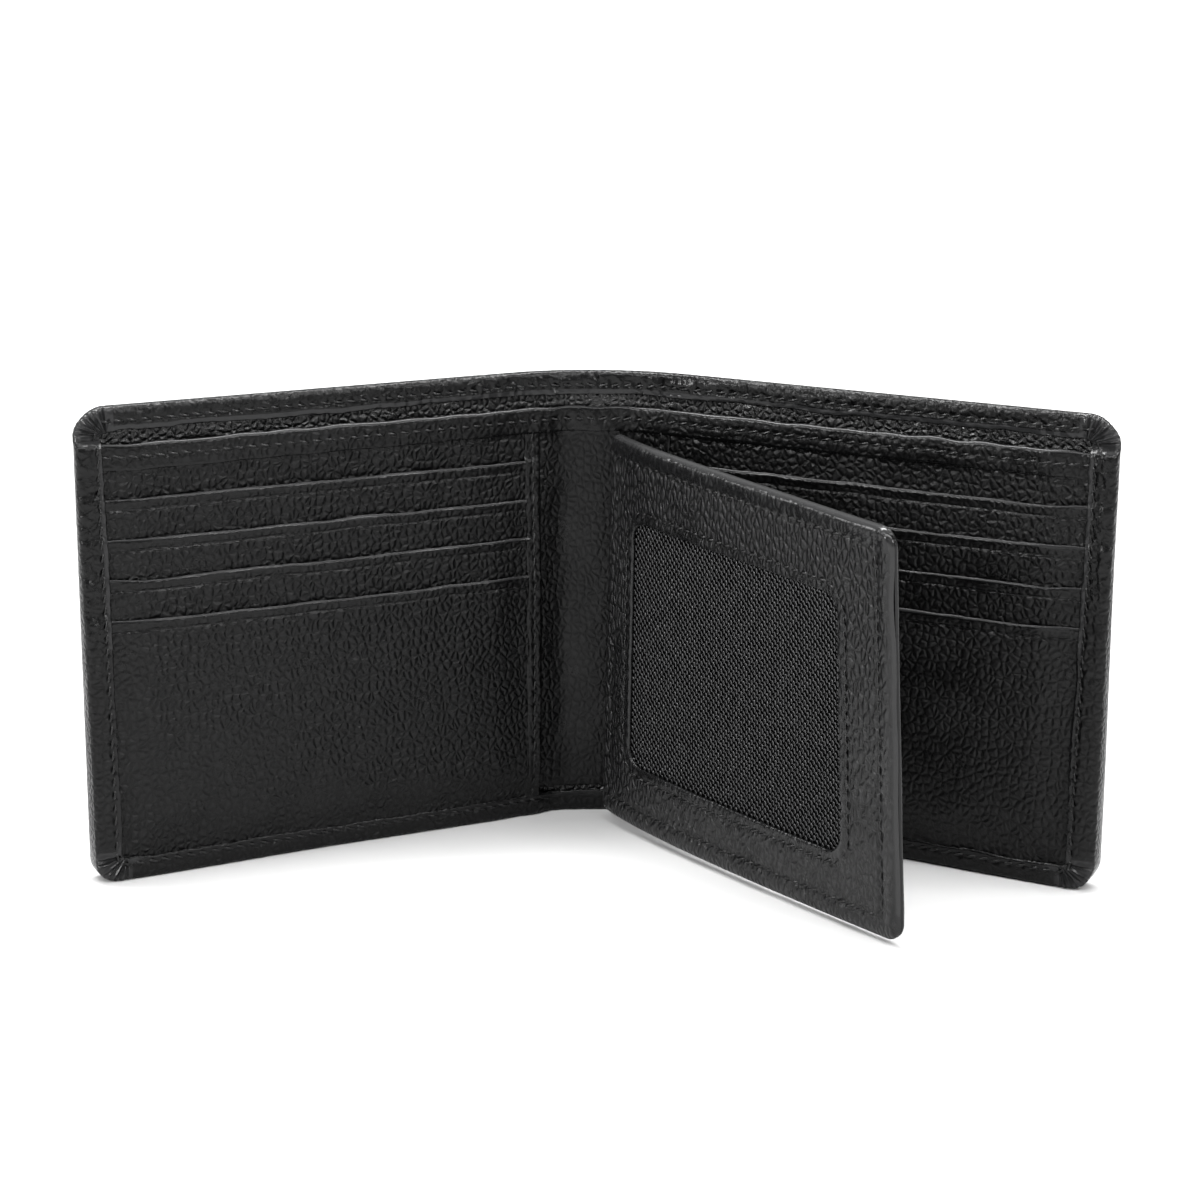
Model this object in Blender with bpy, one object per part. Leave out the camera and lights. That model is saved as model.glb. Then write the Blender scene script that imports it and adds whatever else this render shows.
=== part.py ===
"""Folding card wallet with a centre flip flap, stood up on its lower edge and opened.

Three hinged bodies make the wallet: the spine, the left half and the right half. The flap hangs on
the spine between the halves. Every body is drawn flat, in its own (along, up, out) coordinates:
along runs from the body's fold line to its free edge, up is +Z, and out points at the inside of the
wallet. The body is then turned about its fold line to the half-open rest position.
"""
import bpy
import bmesh
from math import cos, pi, radians, sin

MM = 0.001

# Whole wallet
HEIGHT = 94 * MM             # lower edge to upper edge
HALF_WIDTH = 99 * MM         # fold line to free edge of one half
SPINE_WIDTH = 20 * MM        # between the two fold lines
CORNER = 5.5 * MM            # outer corner radius of the cover
FOLD_ANGLE = 26              # degrees each half is turned in from flat, at rest
GAP = 0.1 * MM               # air left between two layers that lie on each other

# Cover: leather, board, lining, and the leather turned over at the rim
COVER_LEATHER = 1.0 * MM     # the fold lines run through the middle of this layer
BOARD = 0.3 * MM
LINING = 0.4 * MM
TURNED = 0.6 * MM            # leather skived thin where it is turned over
TOP_HEM = 4.7 * MM           # width of the hem along the upper edge
EDGE_LIP = 4.6 * MM          # width of the turned edge along the side and the bottom
FOLD_GAP = 0.8 * MM          # bare leather each side of a fold line
LAYER_START = 3.3 * MM       # inner layers stop this far from the fold line
LINING_START = 2.6 * MM
BOARD_START = 8.0 * MM       # the board stays clear of the leather that bends

# Inner panel and its pockets, behind which the note compartment runs
PANEL_OUT = 2.8 * MM         # back face of the inner panel, measured out from the fold line
SPINE_PANEL_OUT = 1.5 * MM   # the same panel lies deeper where it crosses the spine
PANEL_TOP = 87.2 * MM
PANEL_HEM = 5.1 * MM
SPINE_PANEL_BOTTOM = 5.6 * MM
BACKING = 0.2 * MM
POCKET_LEATHER = 0.45 * MM
FIRST_POCKET_TOP = 76.6 * MM
POCKET_STEP = 7.93 * MM
CARD_POCKETS = 3             # on each half, besides the front pocket
BINDING_WIDTH = 3.4 * MM     # turned strip down the pockets' spine edge
BINDING = 0.3 * MM

# Flap with its window
FLAP_AXIS = (2.0 * MM, -4.6 * MM)
FLAP_ANGLE = 54.5            # degrees out of the spine's plane, at rest
FLAP_LENGTH = 92 * MM
FLAP_BOTTOM = 1.0 * MM
FLAP_TOP = 82.2 * MM
FLAP_START = 0.5 * MM
FLAP_LEATHER = 0.7 * MM
FLAP_FREE_CORNER = 3.6 * MM
FLAP_FOLD_CORNER = 2.5 * MM
WINDOW_START = 11.6 * MM
WINDOW_LENGTH = 65.4 * MM
WINDOW_BOTTOM = 14.4 * MM
WINDOW_HEIGHT = 52 * MM
WINDOW_CORNER = 4 * MM
NET = 0.3 * MM
NET_MARGIN = 4 * MM          # net hidden behind the leather round the window
TAPE = 0.4 * MM              # leather tape that carries the flap

# Sewing
THREAD = 0.3 * MM            # thread diameter
EDGE_SEAM = 1.2 * MM         # seam to the inner edge of the turned leather
FLAP_SEAM = 4.0 * MM         # seam to the flap's edge
WINDOW_SEAM = 2.2 * MM       # seam to the window's edge
ARC_STEPS = 6                # segments in a quarter circle
THREAD_SIDES = 6


def clear_scene():
    for thing in list(bpy.data.objects):
        bpy.data.objects.remove(thing, do_unlink=True)


def make_look(name, colour, roughness, metallic=0.0):
    look = bpy.data.materials.new(name)
    look.use_nodes = True
    shader = look.node_tree.nodes["Principled BSDF"]
    shader.inputs["Base Color"].default_value = (*colour, 1.0)
    shader.inputs["Roughness"].default_value = roughness
    shader.inputs["Metallic"].default_value = metallic
    look.diffuse_color = (*colour, 1.0)
    return look


def arc(centre, radius, start, end, steps=ARC_STEPS):
    """Points (along, up) on a circle from the start angle to the end angle, in degrees."""
    angles = [radians(start + (end - start) * i / steps) for i in range(steps + 1)]
    return [(centre[0] + radius * cos(a), centre[1] + radius * sin(a)) for a in angles]


def rounded_outline(left, right, bottom, top, radii):
    """Rectangle whose corners have the radii (bottom left, bottom right, top right, top left)."""
    corners = [(left, bottom, 1, 1, 180), (right, bottom, -1, 1, 270),
               (right, top, -1, -1, 0), (left, top, 1, -1, 90)]
    points = []
    for (along, up, side, rise, start), radius in zip(corners, radii):
        if radius > 0:
            points += arc((along + side * radius, up + rise * radius), radius, start, start + 90)
        else:
            points.append((along, up))
    return points


class Body:
    """Names the frame in which one hinged body is drawn."""

    def __init__(self, name, place, angle, side):
        self.side = side
        self.axis = bpy.data.objects.new(name, None)
        self.axis.empty_display_size = 10 * MM
        self.axis.location = (*place, 0)
        self.axis.rotation_euler.z = radians(-side * angle)
        bpy.context.collection.objects.link(self.axis)

    def point(self, along, up, out):
        return (self.side * along, -out, up)

    def add(self, name, mesh_maker, look):
        """Links a closed mesh to the body, with its origin on the fold line."""
        shape = bmesh.new()
        mesh_maker(shape)
        bmesh.ops.recalc_face_normals(shape, faces=shape.faces)
        mesh = bpy.data.meshes.new(name)
        shape.to_mesh(mesh)
        shape.free()
        mesh.materials.append(look)
        piece = bpy.data.objects.new(name, mesh)
        piece.parent = self.axis
        bpy.context.collection.objects.link(piece)
        return piece

    def plate(self, name, outline, back, thick, look, hole=None):
        """A sheet of even thickness with an outline, and perhaps a hole, in (along, up)."""
        def make(shape):
            edges = []
            for loop in filter(None, (outline, hole)):
                verts = [shape.verts.new(self.point(a, u, back)) for a, u in loop]
                edges += [shape.edges.new((v, verts[i - 1])) for i, v in enumerate(verts)]
            filled = bmesh.ops.triangle_fill(shape, use_beauty=True, edges=edges)
            faces = [g for g in filled["geom"] if isinstance(g, bmesh.types.BMFace)]
            grown = bmesh.ops.extrude_face_region(shape, geom=faces)
            moved = [g for g in grown["geom"] if isinstance(g, bmesh.types.BMVert)]
            bmesh.ops.translate(shape, verts=moved, vec=(0, -thick, 0))
        return self.add(name, make, look)

    def turned_edge(self, name, path, back, front, lip, look):
        """Leather turned over a rim: a wall along the path and a lip lying on the layers.

        The path is a list of (point, inward direction) pairs along the rim.
        """
        section = [(0, back), (0, front), (lip, front), (lip, front - TURNED),
                   (TURNED, front - TURNED), (TURNED, back)]

        def make(shape):
            rings = []
            for (along, up), (side, rise) in path:
                rings.append([shape.verts.new(self.point(along + side * d, up + rise * d, out))
                              for d, out in section])
            bridge_rings(shape, rings)
        return self.add(name, make, look)

    def seam(self, name, path, out, look, closed=False):
        """A line of thread lying on a face, drawn as one thin tube along (along, up) points."""
        radius = THREAD / 2
        centre = out + GAP / 2 + radius

        def make(shape):
            rings = []
            for i, (along, up) in enumerate(path):
                before = path[i - 1] if (i or closed) else path[i]
                after = path[(i + 1) % len(path)] if (closed or i + 1 < len(path)) else path[i]
                run = (after[0] - before[0], after[1] - before[1])
                size = (run[0] ** 2 + run[1] ** 2) ** 0.5
                across = (-run[1] / size, run[0] / size)
                ring = []
                for k in range(THREAD_SIDES):
                    turn = 2 * pi * k / THREAD_SIDES
                    shift = radius * cos(turn)
                    ring.append(shape.verts.new(self.point(
                        along + across[0] * shift, up + across[1] * shift,
                        centre + radius * sin(turn))))
                rings.append(ring)
            bridge_rings(shape, rings, closed)
        return self.add(name, make, look)


def bridge_rings(shape, rings, closed=False):
    """Skins a row of equal rings, and caps its two ends unless it closes on itself."""
    count = len(rings[0])
    pairs = list(zip(rings, rings[1:]))
    if closed:
        pairs.append((rings[-1], rings[0]))
    for first, second in pairs:
        for k in range(count):
            n = (k + 1) % count
            shape.faces.new((first[k], first[n], second[n], second[k]))
    if not closed:
        shape.faces.new(rings[0])
        shape.faces.new(reversed(rings[-1]))


def rim_arc(centre, start, end):
    """Rim points round an outer corner of the cover, with their inward directions."""
    points = arc(centre, CORNER, start, end)
    return [(p, ((centre[0] - p[0]) / CORNER, (centre[1] - p[1]) / CORNER)) for p in points]


def build_half(name, body, leather, board, cloth, thread):
    """Cover, lining, turned edges, inner panel, pockets and seams of one half."""
    top = HEIGHT
    end = HALF_WIDTH
    inset = TURNED + 2 * GAP                     # layers stop short of the turned wall
    inner_corner = CORNER - inset
    lower_centre = (end - CORNER, CORNER)
    upper_centre = (end - CORNER, top - CORNER)

    body.plate(f"{name}_cover",
               rounded_outline(FOLD_GAP, end, 0, top, (0, CORNER, CORNER, 0)),
               -COVER_LEATHER / 2, COVER_LEATHER, leather)
    stiffened, lined = [rounded_outline(start, end - inset, inset, top - inset,
                                        (0, inner_corner, inner_corner, 0))
                        for start in (BOARD_START, LINING_START)]
    board_back = COVER_LEATHER / 2 + GAP
    lining_back = board_back + BOARD + GAP
    body.plate(f"{name}_cover_board", stiffened, board_back, BOARD, board)
    body.plate(f"{name}_cover_lining", lined, lining_back, LINING, cloth)

    hem_front = lining_back + LINING + GAP + TURNED
    hem_path = [((LINING_START, top), (0, -1))] + rim_arc(upper_centre, 90, 0)
    body.turned_edge(f"{name}_top_hem", hem_path, board_back, hem_front, TOP_HEM, leather)

    def layer(part, up, back, thick, look, bottom=inset):
        outline = rounded_outline(LAYER_START, end - inset, bottom, up,
                                  (0, inner_corner, 0, 0))
        body.plate(f"{name}_{part}", outline, back, thick, look)
        return back + thick + GAP

    out = layer("inner_panel", PANEL_TOP, PANEL_OUT, TURNED, leather)
    hem_bottom = PANEL_TOP - PANEL_HEM
    hem_outline = rounded_outline(LAYER_START, end - inset, hem_bottom, PANEL_TOP, (0,) * 4)
    body.plate(f"{name}_inner_hem", hem_outline, out, TURNED, leather)
    panel_hem_front = out + TURNED
    out = layer("pocket_backing", hem_bottom - GAP, out, BACKING, cloth)
    for i in range(CARD_POCKETS):
        pocket_top = FIRST_POCKET_TOP - i * POCKET_STEP
        out = layer(f"card_pocket_{i + 1}", pocket_top, out, POCKET_LEATHER, leather)
    pocket_top = FIRST_POCKET_TOP - CARD_POCKETS * POCKET_STEP
    out = layer("front_pocket", pocket_top, out, POCKET_LEATHER, leather)

    lip_front = out + TURNED
    bottom_path = [((LAYER_START, 0), (0, 1)), ((end - CORNER - GAP, 0), (0, 1))]
    body.turned_edge(f"{name}_bottom_edge", bottom_path, board_back, lip_front, EDGE_LIP, leather)
    side_top = top - CORNER - GAP
    side_path = rim_arc(lower_centre, -90, 0) + [((end, side_top), (-1, 0))]
    body.turned_edge(f"{name}_side_edge", side_path, board_back, lip_front, EDGE_LIP, leather)

    binding_outline = rounded_outline(LAYER_START, LAYER_START + BINDING_WIDTH,
                                      EDGE_LIP + GAP, hem_bottom - GAP, (0,) * 4)
    body.plate(f"{name}_pocket_binding", binding_outline, out, BINDING, leather)

    seam_in = EDGE_LIP - EDGE_SEAM
    seam_corner = CORNER - seam_in
    edge_seam = [(LAYER_START + EDGE_SEAM, seam_in)]
    edge_seam += arc(lower_centre, seam_corner, -90, 0, ARC_STEPS // 2)
    edge_seam.append((end - seam_in, side_top - EDGE_SEAM))
    body.seam(f"{name}_edge_thread", edge_seam, lip_front, thread)
    hem_seam = top - TOP_HEM + 2 * MM
    body.seam(f"{name}_top_hem_thread",
              [(LINING_START + EDGE_SEAM, hem_seam), (end - TOP_HEM, hem_seam)],
              hem_front, thread)
    panel_seam = PANEL_TOP - PANEL_HEM / 2
    body.seam(f"{name}_inner_hem_thread",
              [(LAYER_START + EDGE_SEAM, panel_seam), (end - EDGE_LIP - EDGE_SEAM, panel_seam)],
              panel_hem_front, thread)
    binding_seam = LAYER_START + BINDING_WIDTH / 2
    body.seam(f"{name}_binding_thread",
              [(binding_seam, EDGE_LIP + EDGE_SEAM), (binding_seam, hem_bottom - EDGE_SEAM)],
              out + BINDING, thread)


def build_spine(body, leather, cloth, thread):
    """The strip between the fold lines, which the halves and the flap hang on."""
    reach = SPINE_WIDTH / 2
    inset = TURNED + 2 * GAP
    board_back = COVER_LEATHER / 2 + GAP
    lining_back = board_back + BOARD + GAP
    hem_front = lining_back + LINING + GAP + TURNED
    lining_reach = reach - 2 * FOLD_GAP
    hem_reach = lining_reach - 2 * GAP

    def strip(name, half, bottom, top, back, thick, look):
        body.plate(name, rounded_outline(-half, half, bottom, top, (0,) * 4), back, thick, look)

    strip("spine_cover", reach - FOLD_GAP, 0, HEIGHT, -COVER_LEATHER / 2, COVER_LEATHER, leather)
    strip("spine_lining", lining_reach, inset, HEIGHT - inset, lining_back, LINING, cloth)
    for name, up, rise in (("spine_top_hem", HEIGHT, -1), ("spine_bottom_edge", 0, 1)):
        path = [((-hem_reach, up), (0, rise)), ((hem_reach, up), (0, rise))]
        body.turned_edge(name, path, board_back, hem_front, TOP_HEM, leather)
    strip("spine_inner_panel", lining_reach, SPINE_PANEL_BOTTOM, PANEL_TOP,
          SPINE_PANEL_OUT, TURNED, leather)
    panel_front = SPINE_PANEL_OUT + TURNED
    strip("spine_inner_hem", hem_reach, PANEL_TOP - PANEL_HEM, PANEL_TOP,
          panel_front + GAP, TURNED, leather)
    tape_edge = 6 * GAP
    tape_start = FLAP_AXIS[0] + tape_edge
    body.plate("flap_tape_sewn_side",
               rounded_outline(tape_start, hem_reach, FLAP_BOTTOM + 3 * TOP_HEM / 2,
                               PANEL_TOP - 2 * PANEL_HEM, (0,) * 4),
               panel_front + GAP, TAPE, leather)

    hem_seam = HEIGHT - TOP_HEM + 2 * MM
    panel_seam = PANEL_TOP - PANEL_HEM / 2
    ends = hem_reach - EDGE_SEAM
    body.seam("spine_top_hem_thread", [(-ends, hem_seam), (ends, hem_seam)], hem_front, thread)
    body.seam("spine_inner_hem_thread", [(-ends, panel_seam), (ends, panel_seam)],
              panel_front + GAP + TURNED, thread)


def build_flap(body, leather, cloth, net, thread):
    """Two leather faces sewn round the edge, with a netted window in the front one."""
    radii = (FLAP_FOLD_CORNER, FLAP_FREE_CORNER, FLAP_FREE_CORNER, FLAP_FOLD_CORNER)
    outline = rounded_outline(FLAP_START, FLAP_LENGTH, FLAP_BOTTOM, FLAP_TOP, radii)
    window_end = WINDOW_START + WINDOW_LENGTH
    window_top = WINDOW_BOTTOM + WINDOW_HEIGHT

    def round_window(margin):
        return rounded_outline(WINDOW_START - margin, window_end + margin,
                               WINDOW_BOTTOM - margin, window_top + margin,
                               (WINDOW_CORNER + margin,) * 4)

    net_back = 0
    front_back = net_back + NET + GAP
    body.plate("flap_front", outline, front_back, FLAP_LEATHER, leather, hole=round_window(0))
    body.plate("flap_window_net", round_window(NET_MARGIN), net_back, NET, net)
    lining_back = net_back - GAP - BACKING
    seam_space = FLAP_SEAM / 2
    body.plate("flap_pocket_lining",
               rounded_outline(FLAP_START + seam_space, FLAP_LENGTH - seam_space,
                               FLAP_BOTTOM + seam_space, FLAP_TOP - seam_space,
                               (FLAP_FOLD_CORNER,) * 4),
               lining_back, BACKING, cloth)
    back_out = lining_back - GAP - FLAP_LEATHER
    body.plate("flap_back", outline, back_out, FLAP_LEATHER, leather)
    body.plate("flap_tape_flap_side",
               rounded_outline(FLAP_START + GAP, FLAP_START + 2 * FLAP_SEAM,
                               FLAP_BOTTOM + 2 * FLAP_SEAM, FLAP_TOP - 2 * FLAP_SEAM, (0,) * 4),
               back_out - GAP - TAPE, TAPE, leather)

    front = front_back + FLAP_LEATHER
    turn = FLAP_FREE_CORNER - FLAP_SEAM + 2 * MM
    seam_end = FLAP_LENGTH - FLAP_SEAM
    seam_bottom = FLAP_BOTTOM + FLAP_SEAM
    seam_top = FLAP_TOP - FLAP_SEAM
    edge_seam = [(FLAP_START + EDGE_SEAM, seam_bottom)]
    edge_seam += arc((seam_end - turn, seam_bottom + turn), turn, -90, 0, ARC_STEPS // 2)
    edge_seam += arc((seam_end - turn, seam_top - turn), turn, 0, 90, ARC_STEPS // 2)
    edge_seam.append((FLAP_START + EDGE_SEAM, seam_top))
    body.seam("flap_edge_thread", edge_seam, front, thread)
    body.seam("flap_window_thread", round_window(WINDOW_SEAM), front, thread, closed=True)


def build_wallet():
    clear_scene()
    leather = make_look("black_leather", (0.020, 0.020, 0.021), 0.42)
    board = make_look("card_board", (0.23, 0.20, 0.17), 0.9)
    cloth = make_look("black_cloth", (0.016, 0.016, 0.018), 0.8)
    net = make_look("black_net", (0.025, 0.025, 0.027), 0.6)
    thread = make_look("black_thread", (0.012, 0.012, 0.013), 0.5)

    fold = SPINE_WIDTH / 2
    left = Body("left_fold_axis", (-fold, 0), FOLD_ANGLE, -1)
    right = Body("right_fold_axis", (fold, 0), FOLD_ANGLE, 1)
    spine = Body("spine_axis", (0, 0), 0, 1)
    flap = Body("flap_axis", FLAP_AXIS, FLAP_ANGLE, 1)
    build_half("left", left, leather, board, cloth, thread)
    build_half("right", right, leather, board, cloth, thread)
    build_spine(spine, leather, cloth, thread)
    build_flap(flap, leather, cloth, net, thread)


build_wallet()
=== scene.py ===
import bpy
import bmesh
import numpy as np
from math import cos, pi, radians, sin, tan
from mathutils import Matrix, Vector


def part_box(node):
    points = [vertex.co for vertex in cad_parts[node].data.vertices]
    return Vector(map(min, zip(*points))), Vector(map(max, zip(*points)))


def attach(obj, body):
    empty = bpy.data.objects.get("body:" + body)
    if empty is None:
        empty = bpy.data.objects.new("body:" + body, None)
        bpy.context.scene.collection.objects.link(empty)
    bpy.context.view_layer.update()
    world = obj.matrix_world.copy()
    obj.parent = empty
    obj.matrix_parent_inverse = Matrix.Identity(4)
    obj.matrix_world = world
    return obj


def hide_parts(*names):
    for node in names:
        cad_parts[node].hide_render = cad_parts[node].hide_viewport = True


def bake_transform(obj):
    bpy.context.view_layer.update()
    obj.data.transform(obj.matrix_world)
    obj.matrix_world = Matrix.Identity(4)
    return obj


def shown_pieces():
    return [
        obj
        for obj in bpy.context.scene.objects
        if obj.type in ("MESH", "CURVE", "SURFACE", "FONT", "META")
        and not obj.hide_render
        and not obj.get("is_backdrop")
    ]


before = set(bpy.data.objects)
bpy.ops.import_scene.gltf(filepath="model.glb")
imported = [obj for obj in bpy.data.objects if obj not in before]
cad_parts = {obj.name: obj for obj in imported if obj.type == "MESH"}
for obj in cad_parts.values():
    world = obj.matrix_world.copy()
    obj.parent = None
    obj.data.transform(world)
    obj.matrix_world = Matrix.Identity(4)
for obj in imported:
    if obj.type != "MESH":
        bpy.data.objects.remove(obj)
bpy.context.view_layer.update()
mm = 0.001

# The wallet in one half's own coordinates: u runs from the spine's middle to the free edge, z is up,
# and n points at the inside of the wallet, from the middle of the cover leather.
wallet = {
    "height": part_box("left_cover")[1].z,
    "fold": 10 * mm,            # spine's middle to the fold line
    "halfWidth": 99 * mm,
    "corner": 5.5 * mm,
    "tangent": 9 * mm,          # the cover bends over this much each side of a fold line
    "skin": 0.5 * mm,           # half of the cover leather
    "bandDepth": 4.6 * mm,      # turned edge along the side and the bottom
    "hemDepth": 4.5 * mm,       # turned edge along the top
    "panelTop": 87.2 * mm,
    "panelHem": 5.1 * mm,
    "slotTops": [76.6 * mm, 68.67 * mm, 60.74 * mm, 52.81 * mm],
    "press": 0.58,              # how far the sewn rim presses the layers together
    "stitch": 2.6 * mm,
}
foldAngle = radians(26)
edgeU = wallet["fold"] + wallet["halfWidth"]
top = wallet["height"]


# Shapes that the pieces share

def smooth(a, b, x):
    t = np.clip((np.asarray(x, float) - a) / (b - a), 0, 1)
    return t * t * (3 - 2 * t)


def peak(distance, width):
    return np.exp(-(distance / width) ** 2)


# gentle waves, each about size long
def ripples(x, y, size, seed, waves=14):
    rng = np.random.default_rng(seed)
    total = np.zeros(np.broadcast(x, y).shape)
    for _ in range(waves):
        turn = rng.uniform(0, 2 * pi)
        k = rng.uniform(0.6, 1.5) * 2 * pi / size
        shift = rng.uniform(0, 2 * pi)
        total += np.sin(k * (x * cos(turn) + y * sin(turn)) + shift)
    return total / np.sqrt(waves / 2)


# u, z and n of one half to x, y and z, round the bend at its fold line
def halfPoint(side, u, z, n):
    u, z, n = np.broadcast_arrays(np.asarray(u, float), z, n)
    fold, tangent = wallet["fold"], wallet["tangent"]
    radius = tangent / tan(foldAngle / 2)
    begin = fold - tangent
    share = np.clip((u - begin) / (2 * tangent), 0, 1)
    a = share * foldAngle
    x = np.where(u < begin, u, begin + radius * np.sin(a))
    y = np.where(u < begin, 0, -radius * (1 - np.cos(a)))
    beyond = np.maximum(u - (fold + tangent), 0)
    x = x + beyond * cos(foldAngle)
    y = y - beyond * sin(foldAngle)
    return np.stack([side * (x - n * np.sin(a)), y - n * np.cos(a), z], -1)


# height of the lower edge at u, a given distance in from the rim
def lowerEdge(u, inset):
    r = wallet["corner"]
    start = edgeU - r
    reach = np.clip(np.asarray(u, float) - start, 0, r - inset)
    return r - np.sqrt(np.maximum((r - inset) ** 2 - reach ** 2, 0))


# the layers lie closer together near the sewn rim and the spine
def pressed(u, z, n):
    rim = np.minimum(edgeU - u, np.where(u > 11 * mm, z, 1))
    least = wallet["press"] + 0.27 * smooth(55 * mm, 104 * mm, u) * smooth(60 * mm, 10 * mm, z)
    side = least + (1 - least) * smooth(3.5 * mm, 13 * mm, rim)
    spine = 0.85 + 0.15 * smooth(17 * mm, 26 * mm, u)
    return np.where(n > 1 * mm, 1 * mm + (n - 1 * mm) * side * spine, n)


# front of the stack of pockets at height z
def stackTop(z):
    heights = [(wallet["panelTop"], 1.5), (wallet["panelTop"] - wallet["panelHem"], 4.1),
               (wallet["slotTops"][0], 3.75), (wallet["slotTops"][1], 4.25),
               (wallet["slotTops"][2], 4.8), (wallet["slotTops"][3], 5.35)]
    n = np.full(np.shape(z), heights[0][1] * mm)
    following = [h[1] for h in heights[1:]] + [5.9]
    for (edge, before), after in zip(heights, following):
        n = n + (after - before) * mm * smooth(edge + 0.9 * mm, edge - 0.5 * mm, z)
    return n


# front of the turned edge, which gets thin towards the spine
def bandFront(u, z):
    n = pressed(np.minimum(u, edgeU - 3 * mm), z, stackTop(z) + 0.7 * mm)
    thin = 2.1 * mm
    return thin + (n - thin) * smooth(9.5 * mm, 14.5 * mm, u)


def arcLength(points):
    steps = np.linalg.norm(np.diff(points, axis=0), axis=1)
    return np.concatenate([[0], np.cumsum(steps)])


# points at an even spacing on a path
def along(path, spacing, offset=0.0):
    path = np.asarray(path, float)
    run = arcLength(path)
    count = int((run[-1] - offset) / spacing)
    at = offset + spacing * np.arange(count + 1)
    return np.stack([np.interp(at, run, path[:, k]) for k in range(2)], -1)


# a pit at each needle hole, with a slight ring round it
def dents(u, z, holes, depth, radius):
    shape = np.shape(u)
    flat = np.stack([np.ravel(u), np.ravel(z)], -1)
    best = np.full(len(flat), 1e3)
    order = np.argsort(flat[:, 0])
    xs = flat[order, 0]
    for hole in holes:
        lo, hi = np.searchsorted(xs, [hole[0] - 3 * radius, hole[0] + 3 * radius])
        pick = order[lo:hi]
        d = np.hypot(flat[pick, 0] - hole[0], flat[pick, 1] - hole[1])
        best[pick] = np.minimum(best[pick], d)
    ring = 0.35 * np.exp(-((best - 1.9 * radius) / (0.8 * radius)) ** 2)
    return (-depth * (1.25 * np.exp(-(best / radius) ** 2) - ring)).reshape(shape)


def corner(centre, radius, start, end, steps):
    a = np.radians(np.linspace(start, end, steps + 1))
    return np.stack([centre[0] + radius * np.cos(a), centre[1] + radius * np.sin(a)], -1)


# From points to meshes

def makePiece(name, points, faces, flat, look, polishAndPaintedHighlight=None, grain=None, closed=True, merge=False):
    mesh = bpy.data.meshes.new(name)
    mesh.from_pydata(np.asarray(points).reshape(-1, 3).tolist(), [], faces)
    layer = mesh.uv_layers.new(name="unrolled")
    index = np.zeros(len(mesh.loops), np.int32)
    mesh.loops.foreach_get("vertex_index", index)
    layer.data.foreach_set("uv", np.asarray(flat, np.float32).reshape(-1, 2)[index].ravel())
    # the polish attribute smooths the leather and also lightens its colour, a painted highlight
    for label, values, usual in (("polishAndPaintedHighlight", polishAndPaintedHighlight, 0.0), ("grain", grain, 1.0)):
        layer = mesh.attributes.new(label, "FLOAT", "POINT")
        values = np.full(len(mesh.vertices), usual) if values is None else np.asarray(values)
        layer.data.foreach_set("value", values.astype(np.float32).ravel())
    mesh.shade_smooth()
    if closed:
        outwards(mesh, merge)
    mesh.materials.append(look)
    piece = bpy.data.objects.new(name, mesh)
    bpy.context.scene.collection.objects.link(piece)
    return piece


def outwards(mesh, merge):
    work = bmesh.new()
    work.from_mesh(mesh)
    if merge:
        bmesh.ops.remove_doubles(work, verts=work.verts, dist=0.002 * mm)
        bmesh.ops.dissolve_degenerate(work, edges=work.edges, dist=0.001 * mm)
    bmesh.ops.recalc_face_normals(work, faces=work.faces)
    for edge in work.edges:
        if len(edge.link_faces) == 2 and edge.calc_face_angle(0) > radians(65):
            edge.smooth = False
    work.to_mesh(mesh)
    work.free()


# quads of a grid whose points are stored row after row
def gridFaces(rows, columns, start=0, wrap=False):
    across = columns if wrap else columns - 1
    i, j = np.meshgrid(np.arange(rows - 1), np.arange(across), indexing="ij")
    k = (j + 1) % columns
    here, after = i * columns, (i + 1) * columns
    quads = np.stack([here + j, after + j, after + k, here + k], -1)
    return (quads.reshape(-1, 4) + start).tolist()


# a closed profile carried across the columns of u
def sweep(name, place, u, z, n, look, polishAndPaintedHighlight=None, grain=None, unroll="z", mirror=1):
    columns, count = u.shape
    lead = u if unroll == "u" else z
    steps = np.hypot(np.diff(lead, axis=1), np.diff(n, axis=1))
    run = lead[:, :1] + np.concatenate([np.zeros((columns, 1)), np.cumsum(steps, 1)], 1)
    flat = np.stack([run, z] if unroll == "u" else [u, run], -1)
    faces = gridFaces(columns, count, wrap=True)
    faces += [list(range(count)), list(range((columns - 1) * count, columns * count))]
    return makePiece(name, place(u, z, n), faces, flat * (mirror, 1), look, polishAndPaintedHighlight, grain)


# places a half's layer, pressed together near its rim
def pressedPoint(side):
    return lambda u, z, n: halfPoint(side, u, z, pressed(u, z, n))


def halfRound(z, n, rz, rn, start, end, steps=6):
    a = np.radians(np.linspace(start, end, steps + 1))
    return z + rz * np.cos(a), n + rn * np.sin(a)


# bakes the piece's placement into its mesh; it is not attached to the spine or a half
def joinBend(piece):
    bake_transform(piece)


# Materials

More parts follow.
